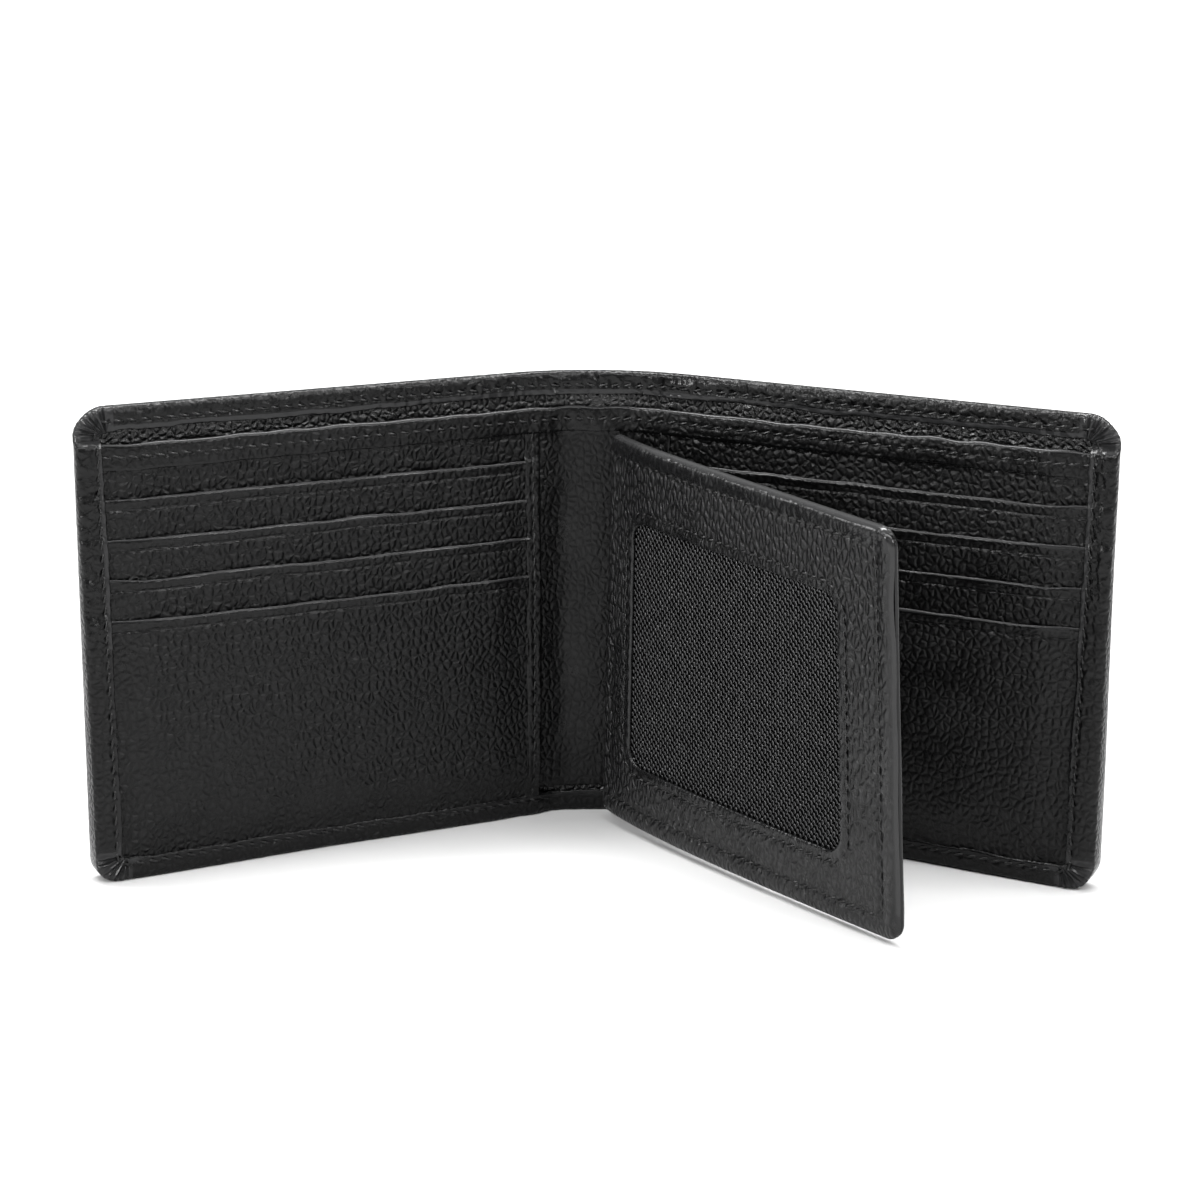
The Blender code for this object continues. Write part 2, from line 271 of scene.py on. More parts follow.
# short calls to build a node tree
class Nodes:
    def __init__(self, tree):
        self.tree = tree
        tree.nodes.clear()

    def set(self, socket, value):
        if isinstance(value, bpy.types.NodeSocket):
            self.tree.links.new(value, socket)
        else:
            socket.default_value = value

    def add(self, kind, links=None, **values):
        node = self.tree.nodes.new(kind)
        for key, value in values.items():
            setattr(node, key, value)
        for key, value in (links or {}).items():
            self.set(node.inputs[key], value)
        return node

    def math(self, operation, a, b=0.0, c=0.0):
        return self.add("ShaderNodeMath", {0: a, 1: b, 2: c}, operation=operation).outputs[0]

    def remap(self, value, low, high, first=0.0, last=1.0, kind="SMOOTHSTEP"):
        return self.add("ShaderNodeMapRange", {"Value": value, "From Min": low, "From Max": high,
                                               "To Min": first, "To Max": last},
                        interpolation_type=kind).outputs[0]

    def blendColour(self, share, first, second):
        return self.add("ShaderNodeMix", {0: share, 6: first, 7: second}, data_type="RGBA").outputs[2]

    def bump(self, height, strength, distance):
        return self.add("ShaderNodeBump", {"Height": height, "Strength": strength,
                                           "Distance": distance}).outputs[0]

    def finish(self, shader, kind="ShaderNodeOutputMaterial"):
        self.add(kind, {0: shader.outputs[0]})


def newLook(name):
    look = bpy.data.materials.new(name)
    look.use_nodes = True
    return look, Nodes(look.node_tree)


# pebbled leather, darker in the pebbles' valleys as the grain's own tone and painted shade; polish
# smooths it and lightens it as a painted highlight, grain 0 takes the pebbles away
def leatherLook(name, cell=1.5, stretch=1.0, turn=0.0, bump=1.0, dark=(0.0006, 0.0006, 0.0006),
                light=(0.0042, 0.0042, 0.0044), rough=0.33, shine=0.2):
    look, nodes = newLook(name)
    uv = nodes.add("ShaderNodeUVMap", uv_map="unrolled").outputs[0]
    placed = nodes.add("ShaderNodeMapping", {"Vector": uv, "Rotation": (0, 0, turn),
                                             "Scale": (1000.0, 1000.0 / stretch, 1.0)}).outputs[0]
    bendNoise = nodes.add("ShaderNodeTexNoise", {"Vector": placed, "Scale": 0.55, "Detail": 2.0},
                          noise_dimensions="2D")
    shift = nodes.add("ShaderNodeVectorMath", {0: bendNoise.outputs["Color"], 1: (0.5, 0.5, 0.5)},
                      operation="SUBTRACT").outputs[0]
    shift = nodes.add("ShaderNodeVectorMath", {0: shift, "Scale": 0.7}, operation="SCALE").outputs[0]
    bent = nodes.add("ShaderNodeVectorMath", {0: placed, 1: shift}, operation="ADD").outputs[0]

    def cracks(scale, width):
        far = nodes.add("ShaderNodeTexVoronoi", {"Vector": bent, "Scale": scale, "Randomness": 1.0},
                        voronoi_dimensions="2D", feature="DISTANCE_TO_EDGE").outputs["Distance"]
        return nodes.remap(far, 0.0, width)

    pebble, crack = cracks(1 / cell, 0.42), cracks(2.4 / cell, 0.14)
    patch = nodes.add("ShaderNodeTexNoise", {"Vector": placed, "Scale": 0.085, "Detail": 2.0},
                      noise_dimensions="2D").outputs["Fac"]
    depth = nodes.remap(patch, 0.3, 0.7, 0.55, 1.0)
    pores = nodes.add("ShaderNodeTexNoise", {"Vector": placed, "Scale": 4.5, "Detail": 3.0},
                      noise_dimensions="2D").outputs["Fac"]
    wornAndPaintedHighlight = nodes.add("ShaderNodeAttribute", attribute_name="polishAndPaintedHighlight").outputs["Fac"]
    grained = nodes.add("ShaderNodeAttribute", attribute_name="grain").outputs["Fac"]
    kept = nodes.math("MULTIPLY", nodes.remap(wornAndPaintedHighlight, 0.0, 1.0, 1.0, 0.12, "LINEAR"), grained)
    height = nodes.math("MULTIPLY", pebble, depth)
    height = nodes.math("MULTIPLY_ADD", crack, 0.1, height)
    height = nodes.math("MULTIPLY_ADD", pores, 0.1, height)
    height = nodes.math("MULTIPLY", height, kept)
    normal = nodes.bump(height, 1.0, 0.26 * mm * bump)
    # the colour is darker in the pebbles' valleys, partly the grain's own tone and partly painted
    # shade, and lighter where polished, a painted highlight
    paintedShadeAndHighlightShare = nodes.math("MULTIPLY", pebble, nodes.remap(pores, 0.3, 0.7, 0.75, 1.0))
    paintedShadeAndHighlightShare = nodes.math("MAXIMUM", paintedShadeAndHighlightShare, nodes.math("MULTIPLY", wornAndPaintedHighlight, 0.7))
    colour = nodes.blendColour(paintedShadeAndHighlightShare, (*dark, 1), (*light, 1))
    # where the polish is strong the colour turns a lighter grey: a painted highlight on rolled edges,
    # pleat ridges and slot tops
    colour = nodes.blendColour(nodes.remap(wornAndPaintedHighlight, 0.75, 1.0), colour, (0.017, 0.017, 0.0174, 1))
    gloss = nodes.remap(patch, 0.25, 0.75, rough - 0.05, rough + 0.07)
    gloss = nodes.math("MULTIPLY_ADD", pores, 0.1, gloss)
    gloss = nodes.math("MULTIPLY_ADD", wornAndPaintedHighlight, -0.16, gloss)
    gloss = nodes.math("SUBTRACT", gloss, 0.05)
    shader = nodes.add("ShaderNodeBsdfPrincipled", {"Base Color": colour, "Roughness": gloss,
                                                    "Specular IOR Level": shine,
                                                    "Normal": normal})
    nodes.finish(shader)
    return look


# plain weave
def clothLook(name, thread=0.35, colour=(0.012, 0.012, 0.013), rough=0.8, shine=0.25, sheen=0.15,
              source="unrolled"):
    look, nodes = newLook(name)
    if source == "object":
        place = nodes.add("ShaderNodeTexCoord").outputs["Object"]
    else:
        place = nodes.add("ShaderNodeUVMap", uv_map=source).outputs[0]
    scaled = nodes.add("ShaderNodeMapping", {"Vector": place, "Scale": (1000.0,) * 3}).outputs[0]
    split = nodes.add("ShaderNodeSeparateXYZ", {0: scaled})
    across = nodes.math("SINE", nodes.math("MULTIPLY", split.outputs[0], 2 * pi / thread))
    upright = nodes.math("SINE", nodes.math("MULTIPLY", split.outputs[2 if source == "object" else 1],
                                            2 * pi / thread))
    weave = nodes.math("MULTIPLY", across, upright)
    fuzz = nodes.add("ShaderNodeTexNoise",
                     {"Vector": scaled, "Scale": 3.0, "Detail": 3.0}).outputs["Fac"]
    height = nodes.math("MULTIPLY_ADD", fuzz, 0.8, nodes.math("MULTIPLY", weave, 0.5))
    normal = nodes.bump(height, 0.8, 0.08 * mm)
    shade = nodes.blendColour(nodes.remap(weave, -1, 1), (*[c * 0.5 for c in colour], 1), (*colour, 1))
    shader = nodes.add("ShaderNodeBsdfPrincipled", {
        "Base Color": shade, "Roughness": rough, "Specular IOR Level": shine, "Sheen Weight": sheen,
        "Sheen Roughness": 0.5, "Normal": normal})
    nodes.finish(shader)
    return look


# twisted thread
def threadLook(name, colour=(0.0012, 0.0012, 0.0013), rough=0.3, shine=0.4):
    look, nodes = newLook(name)
    place = nodes.add("ShaderNodeTexCoord").outputs["Object"]
    wave = nodes.add("ShaderNodeTexWave", {"Vector": place, "Scale": 900.0, "Distortion": 1.5,
                                           "Detail": 1.0}, bands_direction="DIAGONAL").outputs["Fac"]
    normal = nodes.bump(wave, 0.7, 0.06 * mm)
    shade = nodes.blendColour(wave, (*[c * 0.5 for c in colour], 1), (*[c * 1.6 for c in colour], 1))
    shader = nodes.add("ShaderNodeBsdfPrincipled", {"Base Color": shade, "Roughness": rough,
                                                    "Specular IOR Level": shine,
                                                    "Normal": normal})
    nodes.finish(shader)
    return look


leather = leatherLook("pebbledLeather")
panelLeather = leatherLook("pocketLeather", stretch=1.15, turn=0.12)
# the flap's copy of the leather has lighter colours: a painted highlight for the light that falls on
# the flap's face
flapLeatherPaintedLighter = leatherLook("flapLeatherPaintedLighter", cell=1.3, stretch=1.8, turn=0.3, bump=1.5,
                          dark=(0.0012, 0.0012, 0.0013), light=(0.012, 0.012, 0.0125), shine=0.32)
liningCloth = leatherLook("liningCloth", cell=1.4, bump=1.0, rough=0.26, shine=0.45)
backingCloth = clothLook("backingCloth")
boardLook = clothLook("boardFibre", thread=0.9, colour=(0.2, 0.17, 0.14), rough=0.9, source="object")
netLook = threadLook("netYarn", colour=(0.03, 0.03, 0.031), rough=0.34, shine=0.6)
netBaseLook = clothLook("netGround", thread=0.4, colour=(0.0006, 0.0006, 0.0006), rough=1.0,
                        shine=0.02, sheen=0.0)
seamThread = threadLook("seamThread")
print("materials made")


# Seams
seams = {"length": 2.25 * mm, "radius": 0.24 * mm, "lift": 0.14 * mm, "slant": 0.24}


def startTree(name, start, sizes, counts, look, result):
    tree = bpy.data.node_groups.new(name, "GeometryNodeTree")
    kinds = [(start, "Geometry")] + [(label, "Float") for label in sizes]
    kinds += [(label, "Int") for label in counts] + [(look, "Material")]
    for label, kind in kinds:
        tree.interface.new_socket(name=label, in_out="INPUT", socket_type="NodeSocket" + kind)
    tree.interface.new_socket(name=result, in_out="OUTPUT", socket_type="NodeSocketGeometry")
    nodes = Nodes(tree)
    return nodes, nodes.add("NodeGroupInput").outputs


# puts the shape on every point, as real faces with their material
def endTree(nodes, spots, shape, rotation, look):
    placed = nodes.add("GeometryNodeInstanceOnPoints",
                       {"Points": spots, "Instance": shape, "Rotation": rotation}).outputs[0]
    real = nodes.add("GeometryNodeRealizeInstances", {0: placed}).outputs[0]
    dyed = nodes.add("GeometryNodeSetMaterial", {"Geometry": real, "Material": look}).outputs[0]
    nodes.add("NodeGroupOutput", {0: dyed})
    return nodes.tree


# one stitch, bowed over the leather, at every step of the row
def stitchTree():
    nodes, given = startTree("stitchRow", "Row", ("Pitch", "Length", "Radius", "Lift", "Slant"), (),
                             "Thread", "Stitches")
    add, math = nodes.add, nodes.math
    row = add("GeometryNodeMeshToCurve", {"Mesh": given["Row"]}).outputs[0]
    spaced = add("GeometryNodeResampleCurve", {"Curve": row, "Length": given["Pitch"]}, mode="LENGTH")
    sunk = math("MULTIPLY", given["Radius"], -1.3)
    reach = [math("MULTIPLY", given["Length"], share) for share in (-0.5, 0.5)]
    ends = [add("ShaderNodeCombineXYZ", {0: x, 2: sunk}).outputs[0] for x in reach]
    peak = math("MULTIPLY_ADD", given["Lift"], 2.0, given["Radius"])
    middle = add("ShaderNodeCombineXYZ", {2: peak}).outputs[0]
    bow = add("GeometryNodeCurveQuadraticBezier", {"Resolution": 6, "Start": ends[0], "Middle": middle,
                                                   "End": ends[1]}).outputs[0]
    ring = add("GeometryNodeCurvePrimitiveCircle",
               {"Resolution": 6, "Radius": given["Radius"]}).outputs[0]
    tube = add("GeometryNodeCurveToMesh", {"Curve": bow, "Profile Curve": ring, "Fill Caps": True})
    slant = add("ShaderNodeCombineXYZ", {2: given["Slant"]}).outputs[0]
    turned = add("GeometryNodeTransform", {"Geometry": tube.outputs[0], "Rotation": slant}).outputs[0]
    tangent = add("GeometryNodeInputTangent").outputs[0]
    aim = add("FunctionNodeAlignRotationToVector", {"Vector": tangent}, axis="X").outputs[0]
    upright = add("FunctionNodeAlignRotationToVector", {"Rotation": aim, "Vector": (0, 0, 1)},
                  axis="Z", pivot_axis="X").outputs[0]
    return endTree(nodes, spaced.outputs[0], turned, upright, given["Thread"])


# a tree's result as a plain mesh
def runTree(tree, name, source, values):
    holder = bpy.data.objects.new(name, source)
    bpy.context.scene.collection.objects.link(holder)
    step = holder.modifiers.new(name, "NODES")
    step.node_group = tree
    keys = {s.name: s.identifier for s in tree.interface.items_tree
            if s.item_type == "SOCKET" and s.in_out == "INPUT"}
    for label, value in values.items():
        step[keys[label]] = value
    graph = bpy.context.evaluated_depsgraph_get()
    mesh = bpy.data.meshes.new_from_object(holder.evaluated_get(graph))
    bpy.data.objects.remove(holder)
    return mesh


# a flat surface for a stitch row to lie on
def level(n):
    return lambda a, b: np.full(a.shape, n)


def pointsOf(mesh):
    co = np.zeros(len(mesh.vertices) * 3)
    mesh.vertices.foreach_get("co", co)
    return co.reshape(-1, 3)


# each row is its path, its place, the surface it lies on and the side it faces
def stitchRows(name, rows, look):
    allPoints, allFaces, start = [], [], 0
    for path, place, surface, sign in rows:
        source = bpy.data.meshes.new(name)
        path = np.asarray(path, float)
        source.from_pydata([(a, b, 0) for a, b in path.tolist()],
                           [(i, i + 1) for i in range(len(path) - 1)], [])
        mesh = runTree(rowTree, name, source, {
            "Pitch": wallet["stitch"], "Length": seams["length"], "Radius": seams["radius"],
            "Lift": seams["lift"], "Slant": seams["slant"] * sign, "Thread": look})
        co = pointsOf(mesh)
        allPoints.append(place(co[:, 0], co[:, 1], surface(co[:, 0], co[:, 1]) + sign * co[:, 2]))
        allFaces += [[v + start for v in face.vertices] for face in mesh.polygons]
        start += len(co)
        bpy.data.meshes.remove(mesh)
    points = np.concatenate(allPoints)
    return makePiece(name, points, allFaces, np.zeros((len(points), 2)), look)


rowTree = stitchTree()


# Cover leather, turned over its rim
cover = {
    "step": 0.62 * mm, "cornerSteps": 44, "rowStep": 0.7 * mm, "inset": 1.3 * mm,
    "pleats": 8, "pleatDepth": 0.24 * mm, "seamIn": 3.4 * mm, "hemSeam": 91.5 * mm,
}


# the stitch row round the bottom and the side
def bandSeam():
    r, inset = wallet["corner"], cover["seamIn"]
    centre = (edgeU - r, r)
    bend = corner(centre, r - inset, -90, 0, 6)
    return np.concatenate([[(11.5 * mm, inset)], bend, [(edgeU - inset, 89 * mm)]])


def hemSeam(first=0.0):
    return np.array([(first, cover["hemSeam"]), (edgeU - 5.2 * mm, cover["hemSeam"])])


def seamHoles(path):
    return along(path, wallet["stitch"], wallet["stitch"] / 2)


def makeCover(side, name):
    r, inset = wallet["corner"], cover["inset"]
    centreU = edgeU - r
    straight = np.linspace(-0.03 * mm, centreU, int(centreU / cover["step"]))
    a = np.linspace(0, pi / 2, cover["cornerSteps"] + 1)[1:]
    cols = np.concatenate([straight, centreU + (r - inset) * np.sin(a)])
    lift = np.concatenate([np.zeros(len(straight)), (r - inset) * (1 - np.cos(a))])
    rows = int(top / cover["rowStep"])
    share = np.linspace(0, 1, rows + 1)
    low, high = inset + lift, top - inset - lift
    u = np.repeat(cols[:, None], rows + 1, 1)
    z = low[:, None] + (high - low)[:, None] * share[None]
    holes = np.concatenate([seamHoles(bandSeam()), seamHoles(hemSeam())])
    n = np.full(u.shape, -wallet["skin"])
    inside = np.minimum(np.minimum(z, top - z), edgeU - u)
    n -= 0.10 * mm * ripples(side * u, z, 26 * mm, 5) * smooth(2 * mm, 12 * mm, inside)
    n -= dents(u, z, holes, 0.16 * mm, 0.55 * mm)
    bendy = smooth(16 * mm, 5 * mm, u)
    n -= 0.10 * mm * bendy * ripples(side * u, z * 0.12, 2.6 * mm, 9)
    columns, count = u.shape
    # rim, from the top at the spine round the side to the bottom at the spine
    ring = [(i, rows) for i in range(columns)] + [(columns - 1, j) for j in range(rows - 1, -1, -1)]
    ring += [(i, 0) for i in range(columns - 2, -1, -1)]
    ring = np.array(ring)
    inner = np.stack([u[ring[:, 0], ring[:, 1]], z[ring[:, 0], ring[:, 1]]], -1)
    centre = np.stack([np.minimum(inner[:, 0], centreU), np.clip(inner[:, 1], r, top - r)], -1)
    away = inner - centre
    direction = away / np.linalg.norm(away, axis=1)[:, None]
    rim = centre + direction * r
    angle = np.degrees(np.arctan2(direction[:, 0], np.abs(direction[:, 1])))  # 90 at the side
    isTop = inner[:, 1] > top / 2
    # how far the band stands out
    band = bandFront(rim[:, 0], np.clip(rim[:, 1], 0, top))
    hem = 2.15 * mm
    front = np.where(isTop, hem + (band - hem) * smooth(25, 85, angle), band)
    isSide = angle > 89.9
    depth = np.where(isTop & ~isSide, wallet["hemDepth"], wallet["bandDepth"])
    run = arcLength(rim)
    offSpine = smooth(0, 12 * mm, rim[:, 0])
    depth = depth + 0.12 * mm * ripples(run, run * 0, 15 * mm, 21 + side) * offSpine
    depth += 0.05 * mm * ripples(run, run * 0, 3 * mm, 23 + side) * offSpine
    # profile across the rim, as shares of the thickness and distances inwards
    back = -wallet["skin"]
    profile = []

    def add(d, out):
        profile.append([np.broadcast_to(x, run.shape).astype(float) for x in (d, out)])

    tall = front - back
    lowRound = np.minimum(1.2 * mm, 0.45 * tall)
    highRound = np.minimum(1.1 * mm, 0.5 * tall)
    # the padded rim swells past its outline, most at the lower corners and down the right side
    proud = (0.35 * mm + 0.35 * mm * smooth(40, 80, angle)) * np.where(isTop, 1, smooth(10, 70, angle))
    lowCorner = np.sin(np.radians(2 * np.minimum(angle, 90))) ** 2
    proud = proud + np.where(isTop, 0, 0.8 * mm * lowCorner)
    if side > 0:
        lower = smooth(70 * mm, 10 * mm, rim[:, 1])
        proud = proud + smooth(60, 90, angle) * (0.15 * mm + 0.55 * mm * lower)
    for k in (75, 50, 25, 0):
        add((inset + proud) * (1 - cos(radians(k))) ** 0.8 - proud * (1 - (k / 75) ** 2),
            back + lowRound * (1 - sin(radians(k))))
    middle = (back + lowRound + front - highRound) / 2
    swell = 0.1 * mm * smooth(2.5 * mm, 4.5 * mm, tall) * np.where(isTop | isSide, 1, 0)
    add(-swell - proud, middle)
    for k in (0, 20, 40, 60, 80):
        add((1.0 * mm + proud) * (1 - cos(radians(k))) - proud,
            front - highRound * (1 - sin(radians(k))))
    for k in range(10):
        add(1.15 * mm + (depth - 1.45 * mm) * k / 9, front)
    nose = 0.34 * mm
    for k in (30, 60, 90, 120, 150):
        add(depth - nose + nose * sin(radians(k)), front - nose + nose * cos(radians(k)))
    add(depth - 0.5 * mm, front - 2 * nose)
    add(0.95 * mm, front - 2 * nose)
    add(0.95 * mm, wallet["skin"])
    d = np.stack([p[0] for p in profile], 1)
    out = np.stack([p[1] for p in profile], 1)
    layers = d.shape[1]
    # the lip can't pass the middle of the corner, so it gathers there
    limit = r - 0.55 * mm
    inCorner = (angle > 0.1) & (angle < 89.9)
    d = np.where(inCorner[:, None], np.where(d > limit, limit + (d - limit) * 0.15, d), d)
    pu = rim[:, 0:1] - direction[:, 0:1] * d
    pz = np.maximum(rim[:, 1:2] - direction[:, 1:2] * d, 0)
    # pleats gathered in the corners, dents at the stitches, crumples over the spine
    skin = np.zeros(layers)
    skin[4:20] = 1
    skin[2:9] = np.linspace(0.3, 1, 7)
    reach = 1.6 * mm
    overZ = np.where(isTop, np.minimum(0, rim[:, 1] - (top - r)), np.maximum(0, rim[:, 1] - r))
    overU = np.minimum(0, rim[:, 0] - centreU)
    near = np.exp(-(overZ / reach) ** 2) * np.exp(-(overU / reach) ** 2)
    pitch = 1.1 * mm
    upSide = np.where(isTop, (top - r) - rim[:, 1], rim[:, 1] - r) / pitch
    lineRun = np.where(inCorner, angle / 90 * cover["pleats"],
                       np.where(isSide, cover["pleats"] + upSide, (rim[:, 0] - centreU) / pitch))
    jitter = ripples(run, run * 0, 2.2 * mm, 33 + side) * 0.12
    fold = 1 - np.abs(np.sin(pi * (lineRun + jitter))) ** 1.7 * 2
    radial = np.clip((r - d) / r, 0.12, 1)
    narrow = np.where(inCorner[:, None], np.minimum(1, radial * 1.6), 1)
    out += (fold * near * cover["pleatDepth"])[:, None] * skin[None] * narrow
    dent = dents(pu, pz, holes, 0.26 * mm, 0.5 * mm)
    out += dent * skin[None] * smooth(0.9 * mm, 1.6 * mm, d)
    overSpine = (0.42 + 0.58 * smooth(40 * mm, 12 * mm, rim[:, 0])) * np.where(isTop, 1, 0.3)
    dimple = ripples(side * pu, pz * 0.35, 1.5 * mm, 47) * 0.16 * mm
    out += dimple * overSpine[:, None] * skin[None]
    out += 0.03 * mm * ripples(pu, pz, 2.4 * mm, 43) * skin[None]
    across = np.hypot(np.diff(d, axis=1, prepend=inset), np.diff(out, axis=1, prepend=back))
    rimFlat = inner[:, None, :] + direction[:, None, :] * np.cumsum(across, 1)[..., None]
    points = [halfPoint(side, u, z, n).reshape(-1, 3), halfPoint(side, pu, pz, out).reshape(-1, 3)]
    flats = [np.stack([u, z], -1).reshape(-1, 2), rimFlat.reshape(-1, 2)]
    # polish on the lip's nose, the corner pleats and the hem over the spine, which the leather also
    # paints lighter as a painted highlight
    wornAndPaintedHighlight = np.zeros(d.shape)
    wornAndPaintedHighlight[:, 17:22] = 0.8
    wornAndPaintedHighlight += (1.2 * near)[:, None] * skin[None]
    wornAndPaintedHighlight += 0.75 * (overSpine * isTop)[:, None] * skin[None]
    polishAndPaintedHighlights = np.concatenate([np.zeros(u.size), np.clip(wornAndPaintedHighlight, 0, 1).ravel()])
    grains = np.concatenate([np.ones(u.size), (1 - 0.45 * skin[None] + np.zeros(d.shape)).ravel()])
    faces = gridFaces(columns, count)
    edge = ring[:, 0] * count + ring[:, 1]
    length = len(ring)
    grid = u.size + np.arange(length * layers).reshape(length, layers)
    full = np.concatenate([edge[:, None], grid], 1)
    quads = np.stack([full[:-1, :-1], full[1:, :-1], full[1:, 1:], full[:-1, 1:]], -1).reshape(-1, 4)
    faces += quads.tolist()
    last = full[:, -1].tolist()
    for i in range(columns - 2):
        faces.append([last[i], last[i + 1], last[length - 2 - i], last[length - 1 - i]])
    faces.append(last[columns - 2: length - columns + 2])
    faces.append(full[0].tolist() + full[-1][::-1].tolist() + list(range(1, rows)))
    return makePiece(name, np.concatenate(points), faces, np.concatenate(flats) * (side, 1), leather,
                     polishAndPaintedHighlights, grains)


for side, word in ((-1, "left"), (1, "right")):
    piece = makeCover(side, word + "CoverLeather")
    joinBend(piece)
    nodes = [f"{word}_{part}" for part in ("cover", "top_hem", "side_edge", "bottom_edge")]
    if side < 0:
        nodes += ["spine_cover", "spine_top_hem", "spine_bottom_edge"]
    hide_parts(*nodes)
print("cover made")


# Layers inside one half

def slabColumns(first, last, step, cornerSteps=10, inset=0.95 * mm):
    start = edgeU - wallet["corner"]
    straight = np.linspace(first, start, max(2, int((start - first) / step)))
    a = np.linspace(0, pi / 2, cornerSteps + 1)[1:]
    bent = start + (wallet["corner"] - inset) * np.sin(a)
    return np.concatenate([straight, bent[bent < last], [last]])


# u, z and n of a thin sheet between two heights, front and back
def slab(cols, low, high, rows, front, back):
    share = np.linspace(0, 1, rows + 1)
    u = np.repeat(cols[:, None], 2 * (rows + 1), 1)
    zFront = low[:, None] + (high - low)[:, None] * share[None]
    z = np.concatenate([zFront, zFront[:, ::-1]], 1)
    n = np.concatenate([np.full(zFront.shape, front), np.full(zFront.shape, back)], 1)
    return u, z, n


def makeLining(side, name):
    inset = 1.0 * mm
    cols = slabColumns(-0.03 * mm, edgeU - inset, 1.4 * mm, 10, inset)
    low = lowerEdge(cols, inset)
    u, z, n = slab(cols, low, top - low, 46, 1.4 * mm, 1.0 * mm)
    n = n + 0.07 * mm * ripples(u, z, 17 * mm, 51 + side)
    return sweep(name, pressedPoint(side), u, z, n, liningCloth)


def panelDepth(u):
    return 1.5 * mm + 1.3 * mm * smooth(6 * mm, 13.5 * mm, u)


panel = {"thick": 0.6 * mm, "hem": 0.7 * mm, "bottomAtSpine": 5.6 * mm, "creases": 0.06 * mm}


def hemLine():
    return wallet["panelTop"] - wallet["panelHem"] / 2


def panelSurface(u, z):
    return pressed(u, z, panelDepth(u) + panel["thick"] + panel["hem"])


def makePanel(side, name):
    cols = np.concatenate([np.arange(-0.03 * mm, 16 * mm, 0.42 * mm),
                           slabColumns(16 * mm, edgeU - 0.98 * mm, 0.85 * mm, 8, 0.98 * mm)])
    hemLow = wallet["panelTop"] - wallet["panelHem"]
    high = wallet["panelTop"]
    shoulder = 0.98 * mm + 4.4 * mm * smooth(14.5 * mm, 12.7 * mm, cols)
    low = np.where(cols < 12.6 * mm, panel["bottomAtSpine"],
                   np.maximum(lowerEdge(cols, 0.98 * mm), shoulder))
    body = np.linspace(0, 1, 63)
    thick, hem = panel["thick"], panel["hem"]
    zs, ns = [], []
    for lowest in low:
        front = lowest + 0.3 * mm + (hemLow - 0.1 * mm - lowest - 0.3 * mm) * body
        z = list(front)
        n = [thick] * len(front)
        z += [hemLow - 0.12 * mm, hemLow - 0.1 * mm, hemLow + 0.15 * mm]
        n += [thick + 0.2 * mm, thick + 0.5 * mm, thick + hem]
        z += list(np.linspace(hemLow + 0.6 * mm, high - 0.8 * mm, 12))
        n += [thick + hem] * 12
        middle = (thick + hem) / 2
        rz, rn = halfRound(high - 0.65 * mm, middle, 0.65 * mm, middle, 90, -90, 8)
        z += list(rz)
        n += list(rn)
        z += list(np.linspace(high - 3 * mm, lowest + 0.3 * mm, 16))
        n += [0.0] * 16
        rz, rn = halfRound(lowest + 0.3 * mm, thick / 2, 0.3 * mm, thick / 2, -90, -270, 4)
        z += list(rz[1:-1])
        n += list(rn[1:-1])
        zs.append(z)
        ns.append(n)
    z, n = np.array(zs), np.array(ns)
    u = np.repeat(cols[:, None], z.shape[1], 1)
    isFront = n > thick * 0.6
    hemPart = smooth(hemLow - 0.3 * mm, hemLow + 0.1 * mm, z)
    n = n + panelDepth(u)
    # wrinkles of the strip over the spine, and the waves of a sewn hem
    soft = smooth(13 * mm, 8 * mm, u)
    slope = ripples(side * u - 0.75 * z, z * 0.3, 4.2 * mm, 61)
    crossways = ripples(side * u * 0.2, z, 6.5 * mm, 63)
    n = n + panel["creases"] * soft * (0.75 * slope * (1 - 0.7 * hemPart) + 0.5 * crossways)
    n = n + 0.06 * mm * ripples(side * u, z, 14 * mm, 65)
    holes = seamHoles(np.array([(0, hemLine()), (edgeU - 4 * mm, hemLine())]))
    n = n + dents(u, z, holes, 0.24 * mm, 0.5 * mm) * isFront
    crumple = hemPart * isFront * (0.35 + 0.65 * smooth(30 * mm, 8 * mm, u))
    n = n + 0.07 * mm * ripples(side * u, z * 0.3, 1.8 * mm, 67) * crumple
    z = z + 0.10 * mm * ripples(side * u, u * 0, 12 * mm, 69) * hemPart
    # polish at the hem's top edge and its lower edge, also painted lighter as a painted highlight
    wornAndPaintedHighlight = 1.2 * peak(z - high, 0.7 * mm) + 0.8 * peak(z - hemLow, 0.35 * mm)
    grain = 1 - np.maximum(0.5 * hemPart, 0.6 * soft)
    return sweep(name, pressedPoint(side), u, z, n, panelLeather,
                 np.clip(wornAndPaintedHighlight, 0, 1), grain, mirror=side)


def makeBacking(side, name):
    inset = 1.02 * mm
    cols = slabColumns(13.6 * mm, edgeU - inset, 3 * mm, 8, inset)
    u, z, n = slab(cols, lowerEdge(cols, inset), 75.6 * mm, 24, 3.7 * mm, 3.5 * mm)
    return sweep(name, pressedPoint(side), u, z, n, backingCloth)


pockets = {"thick": 0.45 * mm, "first": 3.8 * mm, "rise": 0.55 * mm, "roll": 0.46 * mm,
           "crease": 2.1 * mm}


